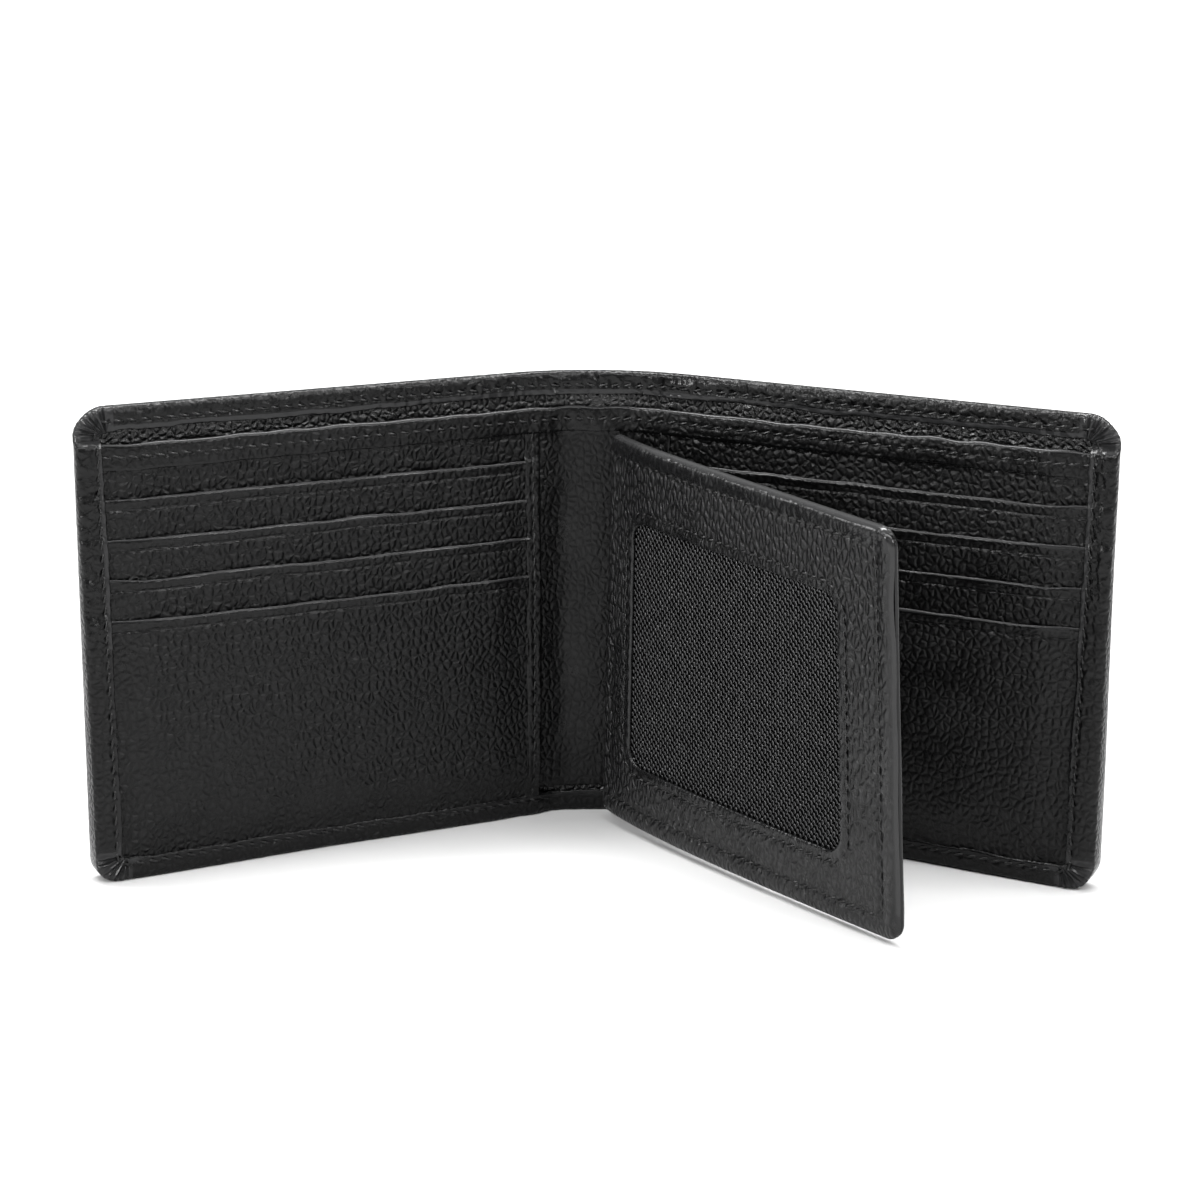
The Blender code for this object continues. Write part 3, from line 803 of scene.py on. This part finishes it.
def makePocket(side, name, number):
    inset = 1.05 * mm
    high = wallet["slotTops"][number]
    back = pockets["first"] + pockets["rise"] * number
    front = back + pockets["thick"]
    cols = slabColumns(13.5 * mm, edgeU - inset, 0.9 * mm, 8, inset)
    low = lowerEdge(cols, inset)
    rows = 40 if number == 3 else 26
    share = np.linspace(0, 1, rows + 1)
    fine = high - np.array([3.2, 2.9, 2.65, 2.45, 2.28, 2.12, 1.96, 1.8, 1.6, 1.35, 1.1, 0.85]) * mm
    roll = pockets["roll"]
    zFront = np.array([np.append(lowest + (high - 3.6 * mm - lowest) * share, fine) for lowest in low])
    down = high - zFront
    lifted = 0.3 * smooth(2.5 * mm, 1.2 * mm, down) + 0.4 * smooth(1.3 * mm, 0.7 * mm, down)
    nFront = front + roll * lifted - 0.22 * mm * peak(down - pockets["crease"], 0.25 * mm)
    halfThick = (front + roll * 0.7 - back) / 2
    rz, rn = halfRound(high - 0.62 * mm, back + halfThick, 0.62 * mm, halfThick, 90, -90, 12)
    zRoll = np.repeat(rz[None], len(cols), 0)
    nRoll = np.repeat(rn[None], len(cols), 0)
    zBack = low[:, None] + (high - 2 * mm - low)[:, None] * np.linspace(1, 0, 8)[None]
    nBack = np.full(zBack.shape, back)
    z = np.concatenate([zFront, zRoll, zBack], 1)
    n = np.concatenate([nFront, nRoll, nBack], 1)
    u = np.repeat(cols[:, None], z.shape[1], 1)
    seed = 71 + 5 * number + side
    lip = smooth(6 * mm, 0.5 * mm, high - z)
    z = z + 0.09 * mm * ripples(u, u * 0, 20 * mm, seed) * lip
    z = z + 0.03 * mm * ripples(u, u * 0, 5 * mm, seed + 1) * lip
    middle = smooth(13.5 * mm, 40 * mm, u) * smooth(edgeU - 2 * mm, edgeU - 28 * mm, u)
    n = n + 0.16 * mm * lip * middle * (1 + 0.5 * ripples(u, u * 0, 22 * mm, seed + 2))
    n = n + 0.045 * mm * ripples(u, z, 11 * mm, seed + 3)
    if number == 3:
        belly = smooth(0, 16 * mm, z) * smooth(wallet["slotTops"][3], 30 * mm, z) * middle
        n = n + 0.35 * mm * belly
    outer = smooth(60 * mm, 95 * mm, u)
    # polish on each slot's rolled top and its crease line, also painted lighter as a painted highlight
    wornAndPaintedHighlight = 1.2 * peak(z - high, 0.7 * mm)
    wornAndPaintedHighlight = wornAndPaintedHighlight + (0.45 + 0.5 * outer) * peak(high - z - 2.45 * mm, 0.25 * mm)
    grain = 1 - 0.35 * smooth(3.0 * mm, 1.8 * mm, high - z)
    return sweep(name, pressedPoint(side), u, z, n, panelLeather,
                 np.clip(wornAndPaintedHighlight, 0, 1), grain)


binding = {"first": 13.0 * mm, "last": 16.7 * mm, "thick": 0.4 * mm, "bottom": 4.3 * mm}


def bindingTop(z):
    return stackTop(z) + binding["thick"]


def makeBinding(side, name):
    high = wallet["panelTop"] - wallet["panelHem"] - 0.1 * mm
    rows = np.arange(binding["bottom"], high, 0.5 * mm)
    rows = np.append(rows, high)
    first, last = binding["first"], binding["last"]
    seamU = (first + last) / 2 + 0.1 * mm
    seam = np.array([(seamU, 5.5 * mm), (seamU, high - 0.6 * mm)])
    holes = seamHoles(seam)
    us, ns = [], []
    for z in rows:
        front = float(bindingTop(z))
        base = 2.75 * mm
        u = [first + 0.35 * mm, first + 0.05 * mm, first, first, first + 0.1 * mm, first + 0.4 * mm]
        n = [base, base + 0.05 * mm, base + 0.3 * mm, front - 0.7 * mm, front - 0.25 * mm, front]
        u += list(np.linspace(first + 0.7 * mm, last - 0.35 * mm, 8))
        n += [front + 0.04 * mm] * 8
        u += [last - 0.12 * mm, last, last - 0.1 * mm, last - 0.5 * mm, first + 0.5 * mm]
        n += [front - x * mm for x in (0.08, 0.25, 0.42, 0.45, 0.45)]
        us.append(u)
        ns.append(n)
    u, n = np.array(us), np.array(ns)
    z = np.repeat(rows[:, None], u.shape[1], 1)
    u = u + 0.12 * mm * ripples(z, z * 0, 9 * mm, 91 + side) * smooth(first + 0.5 * mm, last, u)
    isFront = n > bindingTop(z) - 0.1 * mm
    n = n + dents(u, z, holes, 0.26 * mm, 0.5 * mm) * isFront
    n = n + 0.05 * mm * ripples(u, z, 2.4 * mm, 93 + side) * isFront
    # polish along both edges of the binding, also painted lighter as a painted highlight
    wornAndPaintedHighlight = 0.6 * peak(u - first, 0.5 * mm) + 0.6 * peak(u - last, 0.4 * mm)
    return sweep(name, pressedPoint(side), u, z, n, panelLeather,
                 np.clip(wornAndPaintedHighlight, 0, 1), np.full(u.shape, 0.6), unroll="u"), seam


for side, word in ((-1, "left"), (1, "right")):
    half = word + "_half"
    lining = makeLining(side, word + "CoverLining")
    joinBend(lining)
    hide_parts(f"{word}_cover_lining", *(["spine_lining"] if side < 0 else []))
    inside = makePanel(side, word + "InnerPanel")
    joinBend(inside)
    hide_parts(f"{word}_inner_panel", f"{word}_inner_hem",
                *(["spine_inner_panel", "spine_inner_hem"] if side < 0 else []))
    backing = makeBacking(side, word + "PocketBacking")
    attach(backing, half)
    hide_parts(f"{word}_pocket_backing")
    for number in range(4):
        label = "FrontPocket" if number == 3 else f"CardPocket{number + 1}"
        pocket = makePocket(side, word + label, number)
        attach(pocket, half)
        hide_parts(f"{word}_front_pocket" if number == 3
                    else f"{word}_card_pocket_{number + 1}")
    strip, bindingSeam = makeBinding(side, word + "PocketBinding")
    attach(strip, half)
    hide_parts(f"{word}_pocket_binding")

    place = lambda a, b, c, s=side: halfPoint(s, a, b, c)
    outside = level(-wallet["skin"])
    edgeRows = [
        (bandSeam(), place, lambda a, b: bandFront(a, b) - 0.04 * mm, 1),
        (bandSeam(), place, outside, -1),
    ]
    spineStart = wallet["stitch"] / 2
    hemRows = [
        (hemSeam(spineStart), place, level(2.12 * mm), 1),
        (hemSeam(spineStart), place, outside, -1),
        (np.array([(spineStart, hemLine()), (edgeU - 4.9 * mm, hemLine())]), place,
         lambda a, b: panelSurface(a, b) - 0.03 * mm, 1),
    ]
    bindingRows = [(bindingSeam, place, lambda a, b: pressed(a, b, bindingTop(b)), 1)]
    for label, rows, threads in (
            ("EdgeStitches", edgeRows, [f"{word}_edge_thread"]),
            ("HemStitches", hemRows, [f"{word}_top_hem_thread", f"{word}_inner_hem_thread"]
             + (["spine_top_hem_thread", "spine_inner_hem_thread"] if side < 0 else [])),
            ("BindingStitches", bindingRows, [f"{word}_binding_thread"])):
        piece = stitchRows(word + label, rows, seamThread)
        if label == "BindingStitches":
            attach(piece, half)
        else:
            joinBend(piece)
        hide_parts(*threads)
    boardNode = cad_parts[f"{word}_cover_board"]
    boardNode.data.materials.clear()
    boardNode.data.materials.append(boardLook)
print("halves made")


# Flap
flap = {
    "axis": (2.0 * mm, -4.6 * mm), "angle": 54.5, "first": 0.5 * mm, "last": 92 * mm,
    "bottom": 1.0 * mm, "top": 82.4 * mm, "foldCorner": 2.5 * mm, "freeCorner": 3.6 * mm,
    "front": 1.1 * mm, "back": -1.1 * mm, "bow": 2.6 * mm, "twist": 2.75 * mm,
    "window": (11.6 * mm, 77 * mm, 14.4 * mm, 66.4 * mm), "windowCorner": 4 * mm,
    "seamIn": 4.0 * mm, "windowSeam": 2.2 * mm,
}


def flapPoint(t, z, n):
    t, z, n = np.broadcast_arrays(np.asarray(t, float), z, n)
    share = np.clip(t / flap["last"], 0, 1.05)
    belly = flap["bow"] * np.sin(pi * np.clip(share, 0, 1) ** 0.55)
    lean = flap["twist"] * share * (2 * z / (flap["top"] + flap["bottom"]) - 1)
    out = n + belly + lean
    sag = 1.5 * mm * share ** 1.5 * smooth(20 * mm, flap["top"], z)
    sag = sag + (0.15 * share - 1.1 * (1 - share) ** 2) * mm * smooth(40 * mm, 0, z)
    a = radians(flap["angle"])
    shift = (0.5 * mm + 1.5 * mm * z / flap["top"]) * np.clip(1 - share * 1.2, 0, 1)
    x = flap["axis"][0] + shift + t * cos(a) - out * sin(a)
    y = flap["axis"][1] - t * sin(a) - out * cos(a)
    return np.stack([x, y, z - sag], -1)


# round-cornered outline, with the same number of points at any size
def outlineSamples(left, right, bottom, high, radii, steps, arcSteps):
    rbl, rbr, rtr, rtl = radii
    parts = []
    nu, nz = steps

    def line(p, q, count):
        s = np.linspace(0, 1, count + 1)[:-1]
        parts.append(np.stack([p[0] + (q[0] - p[0]) * s, p[1] + (q[1] - p[1]) * s], -1))

    def turn(c, r, a0):
        parts.append(corner(c, r, a0, a0 + 90, arcSteps)[:-1])

    line((left + rbl, bottom), (right - rbr, bottom), nu)
    turn((right - rbr, bottom + rbr), rbr, -90)
    line((right, bottom + rbr), (right, high - rtr), nz)
    turn((right - rtr, high - rtr), rtr, 0)
    line((right - rtr, high), (left + rtl, high), nu)
    turn((left + rtl, high - rtl), rtl, 90)
    line((left, high - rtl), (left, bottom + rbl), nz)
    turn((left + rbl, bottom + rbl), rbl, 180)
    return np.concatenate(parts)


def flapOutline(inset=0.0, steps=(190, 160), arcSteps=12):
    rf, rr = max(flap["foldCorner"] - inset, 0.2 * mm), max(flap["freeCorner"] - inset, 0.2 * mm)
    return outlineSamples(flap["first"] + inset, flap["last"] - inset, flap["bottom"] + inset,
                          flap["top"] - inset, (rf, rr, rr, rf), steps, arcSteps)


def windowOutline(margin=0.0, steps=(190, 160), arcSteps=12):
    l, r, b, h = flap["window"]
    c = flap["windowCorner"] + margin
    return outlineSamples(l - margin, r + margin, b - margin, h + margin, (c,) * 4, steps, arcSteps)


def flapEdgeSeam():
    i = flap["seamIn"]
    l, r, b, h = flap["first"] + 0.8 * mm, flap["last"] - i, flap["bottom"] + i, flap["top"] - i
    c = 2.2 * mm
    low, high = corner((r - c, b + c), c, -90, 0, 5), corner((r - c, h - c), c, 0, 90, 5)
    return np.concatenate([[(l, b)], low, high, [(l, h)]])


def flapWindowSeam():
    path = windowOutline(flap["windowSeam"], (60, 50), 8)
    return np.concatenate([path, path[:1]])


# a skin over outlines with the same number of points, each with its own n
def ringLoft(rings, closedTube=True):
    outline = np.stack([r[0] for r in rings], 0)
    n = np.stack([np.broadcast_to(r[1], outline.shape[1:2]) for r in rings], 0)
    count, around = n.shape
    last = count if closedTube else count - 1
    i, j = np.meshgrid(np.arange(last), np.arange(around), indexing="ij")
    ii, jj = (i + 1) % count, (j + 1) % around
    faces = np.stack([i * around + j, ii * around + j, ii * around + jj, i * around + jj], -1)
    return outline[..., 0], outline[..., 1], n, faces.reshape(-1, 4).tolist()


def toFlapEdge(t, z):
    return np.minimum(np.minimum(t - flap["first"], flap["last"] - t),
                      np.minimum(z - flap["bottom"], flap["top"] - z))


def makeFlapFront():
    holes = np.concatenate([seamHoles(flapEdgeSeam()), seamHoles(flapWindowSeam())])
    front = flap["front"]
    rings = []

    def at(inset, n):
        rings.append((flapOutline(inset), n))

    at(0.7 * mm, 0.32 * mm)
    at(0.25 * mm, 0.06 * mm)
    for k in (0, 20, 40, 60, 80):
        at(1.1 * mm * (1 - cos(radians(k))), 0.2 * mm + (front - 0.2 * mm) * sin(radians(k)))
    outer = flapOutline(1.05 * mm)
    inner = windowOutline(0.5 * mm)
    rows = 26
    rings += [(outer + (inner - outer) * k / rows, front) for k in range(1, rows)]
    rings.append((inner, front))
    for k in (30, 60, 90):
        rings.append((windowOutline(0.5 * mm * (1 - sin(radians(k)))),
                      front - 0.45 * mm * (1 - cos(radians(k)))))
    rings.append((windowOutline(0.02 * mm), 0.42 * mm))
    rings.append((windowOutline(0.4 * mm), 0.38 * mm))
    t, z, n, faces = ringLoft(rings)
    isFront = n > front - 0.3 * mm
    n = n + dents(t, z, holes, 0.24 * mm, 0.5 * mm) * isFront
    border = toFlapEdge(t, z)
    n = n + 0.22 * mm * smooth(4.1 * mm, 1.9 * mm, border) * smooth(0.3 * mm, 1.6 * mm, border)
    rib = smooth(4.2 * mm, 1 * mm, border) * smooth(flap["top"] - 6 * mm, flap["top"] - 3 * mm, z)
    n = n + 0.05 * mm * ripples(t, z * 0.1, 1.3 * mm, 111) * rib * isFront
    n = n + 0.05 * mm * ripples(t, z, 9 * mm, 113) * isFront
    # padded between the seam and the edge
    n = n - 0.16 * mm * peak(border - flap["seamIn"], 0.8 * mm) * isFront
    l, r, b, h = flap["window"]
    toWindow = np.hypot(np.maximum(np.maximum(l - t, t - r), 0),
                        np.maximum(np.maximum(b - z, z - h), 0))
    n = n - 0.14 * mm * peak(toWindow - flap["windowSeam"], 0.7 * mm) * isFront
    freeRim = smooth(2 * mm, 0.2 * mm, border) * smooth(60 * mm, 85 * mm, t)
    t = t + 0.16 * mm * ripples(t + z, z * 0.3, 13 * mm, 115) * freeRim
    topBand = smooth(flap["top"] - 4.4 * mm, flap["top"] - 3.6 * mm, z)
    n = n + 0.06 * mm * ripples(t, z * 0.1, 0.9 * mm, 117) * topBand * isFront
    # polish round the flap's rim, its top band, free edge and window edge, also painted lighter as a
    # painted highlight
    wornAndPaintedHighlight = 0.95 * smooth(1.0 * mm, 0.2 * mm, border) * smooth(2 * mm, 9 * mm, z) + 0.5 * topBand
    wornAndPaintedHighlight += 0.2 * smooth(4.4 * mm, 3.2 * mm, border) * smooth(75 * mm, 85 * mm, t)
    wornAndPaintedHighlight = np.clip(wornAndPaintedHighlight + 0.6 * smooth(1.0 * mm, 0.2 * mm, toWindow), 0, 1)
    grain = 1 - 0.55 * smooth(4.2 * mm, 3.4 * mm, border) * smooth(74 * mm, 88 * mm, t)
    grain *= (1 - 0.5 * smooth(2.2 * mm, 1.2 * mm, toWindow)) * (1 - 0.7 * topBand)
    return makePiece("flapFrontLeather", flapPoint(t, z, n), faces, np.stack([t, z], -1),
                     flapLeatherPaintedLighter, wornAndPaintedHighlight, grain)


def makeFlapBack():
    holes = seamHoles(flapEdgeSeam())
    back = flap["back"]
    rings = []
    steps = (150, 130)

    def ring(inset, n):
        rings.append((flapOutline(inset, steps, 10), n))

    outer = flapOutline(0.75 * mm, steps, 10)
    left, right = flap["first"] + 38 * mm, flap["last"] - 38 * mm
    half = np.full(len(outer), (flap["bottom"] + flap["top"]) / 2)
    mid = np.stack([np.clip(outer[:, 0], left, right), half], -1)  # the rings end on a line, not a pole
    rings += [(outer + (mid - outer) * (k / 14), -0.38 * mm) for k in range(14, 0, -1)]
    ring(0.7 * mm, -0.34 * mm)
    ring(0.25 * mm, -0.03 * mm)
    for k in (0, 25, 50, 75):
        ring(0.62 * mm * (1 - cos(radians(k))), -0.32 * mm + (back + 0.32 * mm) * sin(radians(k)))
    rows = 48
    rings += [(outer + (mid - outer) * (k / rows) ** 1.25, back) for k in range(rows + 1)]
    t, z, n, faces = ringLoft(rings, closedTube=False)
    isFront = n < back + 0.3 * mm
    n = n - dents(t, z, holes, 0.15 * mm, 0.5 * mm) * isFront
    n = n + 0.06 * mm * ripples(t, z, 12 * mm, 121) * isFront
    border = toFlapEdge(t, z)
    # polish round the back's rim, also painted lighter as a painted highlight
    wornAndPaintedHighlight = 0.9 * smooth(1.0 * mm, 0.2 * mm, border)
    return makePiece("flapBackLeather", flapPoint(t, z, n), faces, np.stack([t, z], -1), leather,
                     wornAndPaintedHighlight, merge=True)


# open loops of yarn in staggered columns
def netTree():
    sizes = ("Width", "Height", "Loop Width", "Loop Height", "Yarn")
    nodes, given = startTree("knitNet", "Start", sizes, ("Across", "Up", "Seed"), "Knit", "Net")
    add, math = nodes.add, nodes.math
    grid = add("GeometryNodeMeshGrid", {"Size X": given["Width"], "Size Y": given["Height"],
                                        "Vertices X": given["Across"], "Vertices Y": given["Up"]})
    index = add("GeometryNodeInputIndex").outputs[0]
    column = math("FLOOR", math("DIVIDE", math("ADD", index, 0.5), given["Up"]))
    spacing = math("DIVIDE", given["Height"], math("SUBTRACT", given["Up"], 1.0))
    shift = math("MULTIPLY", math("MULTIPLY", math("MODULO", column, 2.0), spacing), 0.5)
    move = add("ShaderNodeCombineXYZ", {1: shift}).outputs[0]
    spots = add("GeometryNodeSetPosition",
                {"Geometry": grid.outputs["Mesh"], "Offset": move}).outputs[0]
    circle = add("GeometryNodeCurvePrimitiveCircle", {"Resolution": 8, "Radius": 0.5}).outputs[0]
    size = add("ShaderNodeCombineXYZ",
               {0: given["Loop Width"], 1: given["Loop Height"], 2: 1.0}).outputs[0]
    oval = add("GeometryNodeTransform", {"Geometry": circle, "Scale": size}).outputs[0]
    section = add("GeometryNodeCurvePrimitiveCircle",
                  {"Resolution": 3, "Radius": given["Yarn"]}).outputs[0]
    yarn = add("GeometryNodeCurveToMesh", {"Curve": oval, "Profile Curve": section}).outputs[0]
    tilt = add("FunctionNodeRandomValue", {"Min": (0.05, -0.12, -0.14), "Max": (0.25, 0.12, 0.14),
                                           "Seed": given["Seed"]}, data_type="FLOAT_VECTOR").outputs[0]
    return endTree(nodes, spots, yarn, tilt, given["Knit"])


net = {"pitch": 0.78 * mm, "row": 1.5 * mm, "loopWidth": 0.52 * mm, "loopHeight": 1.0 * mm,
       "yarn": 0.105 * mm, "hidden": 1.2 * mm, "margin": 3.6 * mm}


# a flat cloth inside the flap, from its left, right, lower and upper edge
def flapCloth(name, edges, columns, count, front, back, look):
    rows = np.linspace(edges[2], edges[3], count)
    u = np.repeat(np.linspace(edges[0], edges[1], columns)[:, None], 2 * count, 1)
    z = np.repeat(np.concatenate([rows, rows[::-1]])[None], columns, 0)
    n = np.repeat(np.repeat([front, back], count)[None], columns, 0)
    return sweep(name, flapPoint, u, z, n, look)


def makeNet():
    l, r, b, h = flap["window"]
    width, tall = r - l - 0.2 * mm, h - b - 1.2 * mm
    across, up = int(width / net["pitch"]) + 1, int(tall / net["row"]) + 1
    mesh = runTree(netTree(), "windowNetLoops", bpy.data.meshes.new("netStart"), {
        "Width": width, "Height": tall, "Across": across, "Up": up, "Seed": 7,
        "Loop Width": net["loopWidth"], "Loop Height": net["loopHeight"], "Yarn": net["yarn"],
        "Knit": netLook})
    co = pointsOf(mesh)
    faces = [list(face.vertices) for face in mesh.polygons]
    hidden, m = net["hidden"], net["margin"]
    t = np.clip(co[:, 0] + (l + r) / 2, l - hidden, r + hidden)
    z = np.clip(co[:, 1] + (b + h) / 2 - net["row"] / 4, b - hidden, h + hidden)
    loops = makePiece("windowNetLoops", flapPoint(t, z, 0.22 * mm + co[:, 2]), faces,
                      np.stack([t, z], -1), netLook)
    ground = flapCloth("windowNet", (l - m, r + m, b - m, h + m), 40, 32, 0.12 * mm, 0.02 * mm,
                       netBaseLook)
    return loops, ground


def makeFlapLining():
    i = 2 * mm
    edges = (flap["first"] + i, flap["last"] - i, flap["bottom"] + i, flap["top"] - i)
    return flapCloth("flapPocketLining", edges, 40, 34, -0.08 * mm, -0.26 * mm, backingCloth)


frontPiece = makeFlapFront()
backPiece = makeFlapBack()
netLoops, netGround = makeNet()
flapLining = makeFlapLining()
edgeStitches = stitchRows("flapEdgeStitches", [
    (flapEdgeSeam(), flapPoint, level(flap["front"] - 0.16 * mm), 1),
    (flapEdgeSeam(), flapPoint, level(flap["back"] + 0.04 * mm), -1)], seamThread)
windowStitches = stitchRows("flapWindowStitches", [
    (flapWindowSeam(), flapPoint, level(flap["front"] - 0.1 * mm), 1)], seamThread)
for piece, slotName, nodes in (
        (frontPiece, "black_leather", ["flap_front"]), (backPiece, "black_leather", ["flap_back"]),
        (netGround, "black_net", ["flap_window_net"]), (netLoops, "black_net", []),
        (flapLining, "black_cloth", ["flap_pocket_lining"]),
        (edgeStitches, "black_thread", ["flap_edge_thread"]),
        (windowStitches, "black_thread", ["flap_window_thread"])):
    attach(piece, "id_flap")
    if nodes:
        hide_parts(*nodes)


tape = {"low": 8.6 * mm, "high": 75.6 * mm, "half": 0.13 * mm, "sewn": (7.0 * mm, 4.0 * mm, -2.4 * mm),
        "out": -1.2 * mm, "joined": (2.0 * mm, 6.2 * mm)}


def makeTape():
    rows = np.arange(tape["low"], tape["high"], 1.1 * mm)
    share = np.linspace(0, 1, 13)
    outline = []
    for z in rows:
        first, last, y = tape["sewn"]
        flat = np.stack([first + (last - first) * share[::3], np.full(5, y)], -1)
        t = tape["joined"][0] + (tape["joined"][1] - tape["joined"][0]) * share[::2]
        onFlap = flapPoint(t, np.full(7, z), np.full(7, tape["out"]))[:, :2]
        p, q = flat[-1], onFlap[0]
        lead = np.array([-3.4 * mm, 0])
        follow = (onFlap[1] - onFlap[0]) / np.linalg.norm(onFlap[1] - onFlap[0]) * 2.6 * mm
        w = share[1:-1, None]
        turn = ((1 + 2 * w) * (1 - w) ** 2 * p + w * (1 - w) ** 2 * lead
                + w ** 2 * (3 - 2 * w) * q + w ** 2 * (w - 1) * follow)
        middle = np.concatenate([flat, turn, onFlap])
        ahead = np.gradient(middle, axis=0)
        ahead /= np.linalg.norm(ahead, axis=1)[:, None]
        aside = np.stack([-ahead[:, 1], ahead[:, 0]], -1) * tape["half"]
        outline.append(np.concatenate([middle + aside, (middle - aside)[::-1]]))
    outline = np.array(outline)
    z = np.repeat(rows[:, None], outline.shape[1], 1)
    steps = np.linalg.norm(np.diff(outline, axis=1), axis=2)
    run = np.concatenate([np.zeros((len(rows), 1)), np.cumsum(steps, 1)], 1)
    z = z + 0.12 * mm * ripples(run, z, 9 * mm, 131)
    points = np.stack([outline[..., 0], outline[..., 1], z], -1)
    count = outline.shape[1]
    faces = gridFaces(len(rows), count, wrap=True)
    faces += [list(range(count)), list(range((len(rows) - 1) * count, len(rows) * count))]
    return makePiece("flapTape", points, faces, np.stack([run, z], -1), leather)


flapTape = makeTape()
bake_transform(flapTape)
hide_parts("flap_tape_sewn_side", "flap_tape_flap_side")
print("flap made")


# Floor, light and camera

def makeFloor():
    mesh = bpy.data.meshes.new("floor")
    reach = 12
    mesh.from_pydata([(-reach, -reach, 0), (reach, -reach, 0), (reach, reach, 0), (-reach, reach, 0)],
                     [], [(0, 1, 2, 3)])
    look, nodes = newLook("paleFloor")
    place = nodes.add("ShaderNodeTexCoord").outputs["Object"]
    away = nodes.add("ShaderNodeVectorMath", {0: place}, operation="LENGTH").outputs["Value"]
    shader = nodes.add("ShaderNodeBsdfPrincipled", {
        "Base Color": (0.5, 0.5, 0.5, 1), "Roughness": 0.9, "Specular IOR Level": 0.05,
        "Emission Color": (1, 1, 1, 1), "Emission Strength": nodes.remap(away, 0.12, 0.8, 0.0, 0.75)})
    nodes.finish(shader)
    mesh.materials.append(look)
    floor = bpy.data.objects.new("floor", mesh)
    bpy.context.scene.collection.objects.link(floor)
    floor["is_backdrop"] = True


def areaLight(name, place, target, size, power):
    data = bpy.data.lights.new(name, "AREA")
    data.shape = "RECTANGLE"
    data.size, data.size_y = size
    data.energy = power
    lamp = bpy.data.objects.new(name, data)
    lamp.location = place
    lamp.rotation_mode = "QUATERNION"
    lamp.rotation_quaternion = (Vector(target) - Vector(place)).to_track_quat("-Z", "Y")
    bpy.context.scene.collection.objects.link(lamp)


# place, aim, width and height, power
lights = {
    "topBox": ((-0.02, 0.1, 0.7), (0, -0.02, 0.05), (0.9, 0.16), 13),
    "highStrip": ((0.02, -0.4, 0.6), (0, -0.02, 0.05), (0.9, 0.07), 3.6),
    "frontBox": ((0.72, -0.72, 0.5), (-0.03, -0.03, 0.04), (0.16, 0.16), 2.4),
    "sideBox": ((-0.85, 0.12, 0.34), (0.03, -0.05, 0.03), (0.2, 0.2), 1.6),
    "leftBox": ((-0.75, -0.62, 0.42), (0.02, -0.03, 0.04), (0.24, 0.24), 5.5),
    "rightBox": ((0.7, -0.1, 0.55), (0.03, -0.02, 0.05), (0.2, 0.3), 2.5),
}


def makeWorld():
    world = bpy.data.worlds.new("studio")
    bpy.context.scene.world = world
    world.use_nodes = True
    nodes = Nodes(world.node_tree)
    ray = nodes.add("ShaderNodeTexCoord").outputs["Generated"]
    upward = nodes.add("ShaderNodeSeparateXYZ", {0: ray})
    level = nodes.remap(upward.outputs[2], 0.15, 0.9, 0.3, 1.0)
    sky = nodes.add("ShaderNodeBackground", {"Color": (1, 1, 1, 1), "Strength": level})
    nodes.finish(sky, "ShaderNodeOutputWorld")


makeFloor()
for lightName, settings in lights.items():
    areaLight(lightName, *settings)
makeWorld()
bpy.context.scene.view_settings.view_transform = "Standard"

cameraSet = {"place": (1.466 * mm, -577.51 * mm, 201.84 * mm), "pitch": 15.14, "yaw": 0.06,
             "roll": 0.43, "lens": 86.13, "sensor": 36}


def makeCamera():
    data = bpy.data.cameras.new("camera")
    data.lens, data.sensor_width = cameraSet["lens"], cameraSet["sensor"]
    data.clip_start, data.clip_end = 0.01, 60
    camera = bpy.data.objects.new("camera", data)
    pitch, yaw, roll = (radians(cameraSet[k]) for k in ("pitch", "yaw", "roll"))
    ahead = Vector((-sin(yaw) * cos(pitch), cos(yaw) * cos(pitch), -sin(pitch)))
    right = Vector((cos(yaw), sin(yaw), 0))
    up = right.cross(ahead)
    right, up = right * cos(roll) + up * sin(roll), -right * sin(roll) + up * cos(roll)
    turn = Matrix((right, up, -ahead)).transposed()
    camera.matrix_world = Matrix.Translation(cameraSet["place"]) @ turn.to_4x4()
    bpy.context.scene.collection.objects.link(camera)
    bpy.context.scene.camera = camera


makeCamera()
print("floor, lights and camera made")

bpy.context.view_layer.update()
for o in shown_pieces():
    print(o.name, len(o.data.polygons), sum(len(p.vertices) - 2 for p in o.data.polygons))
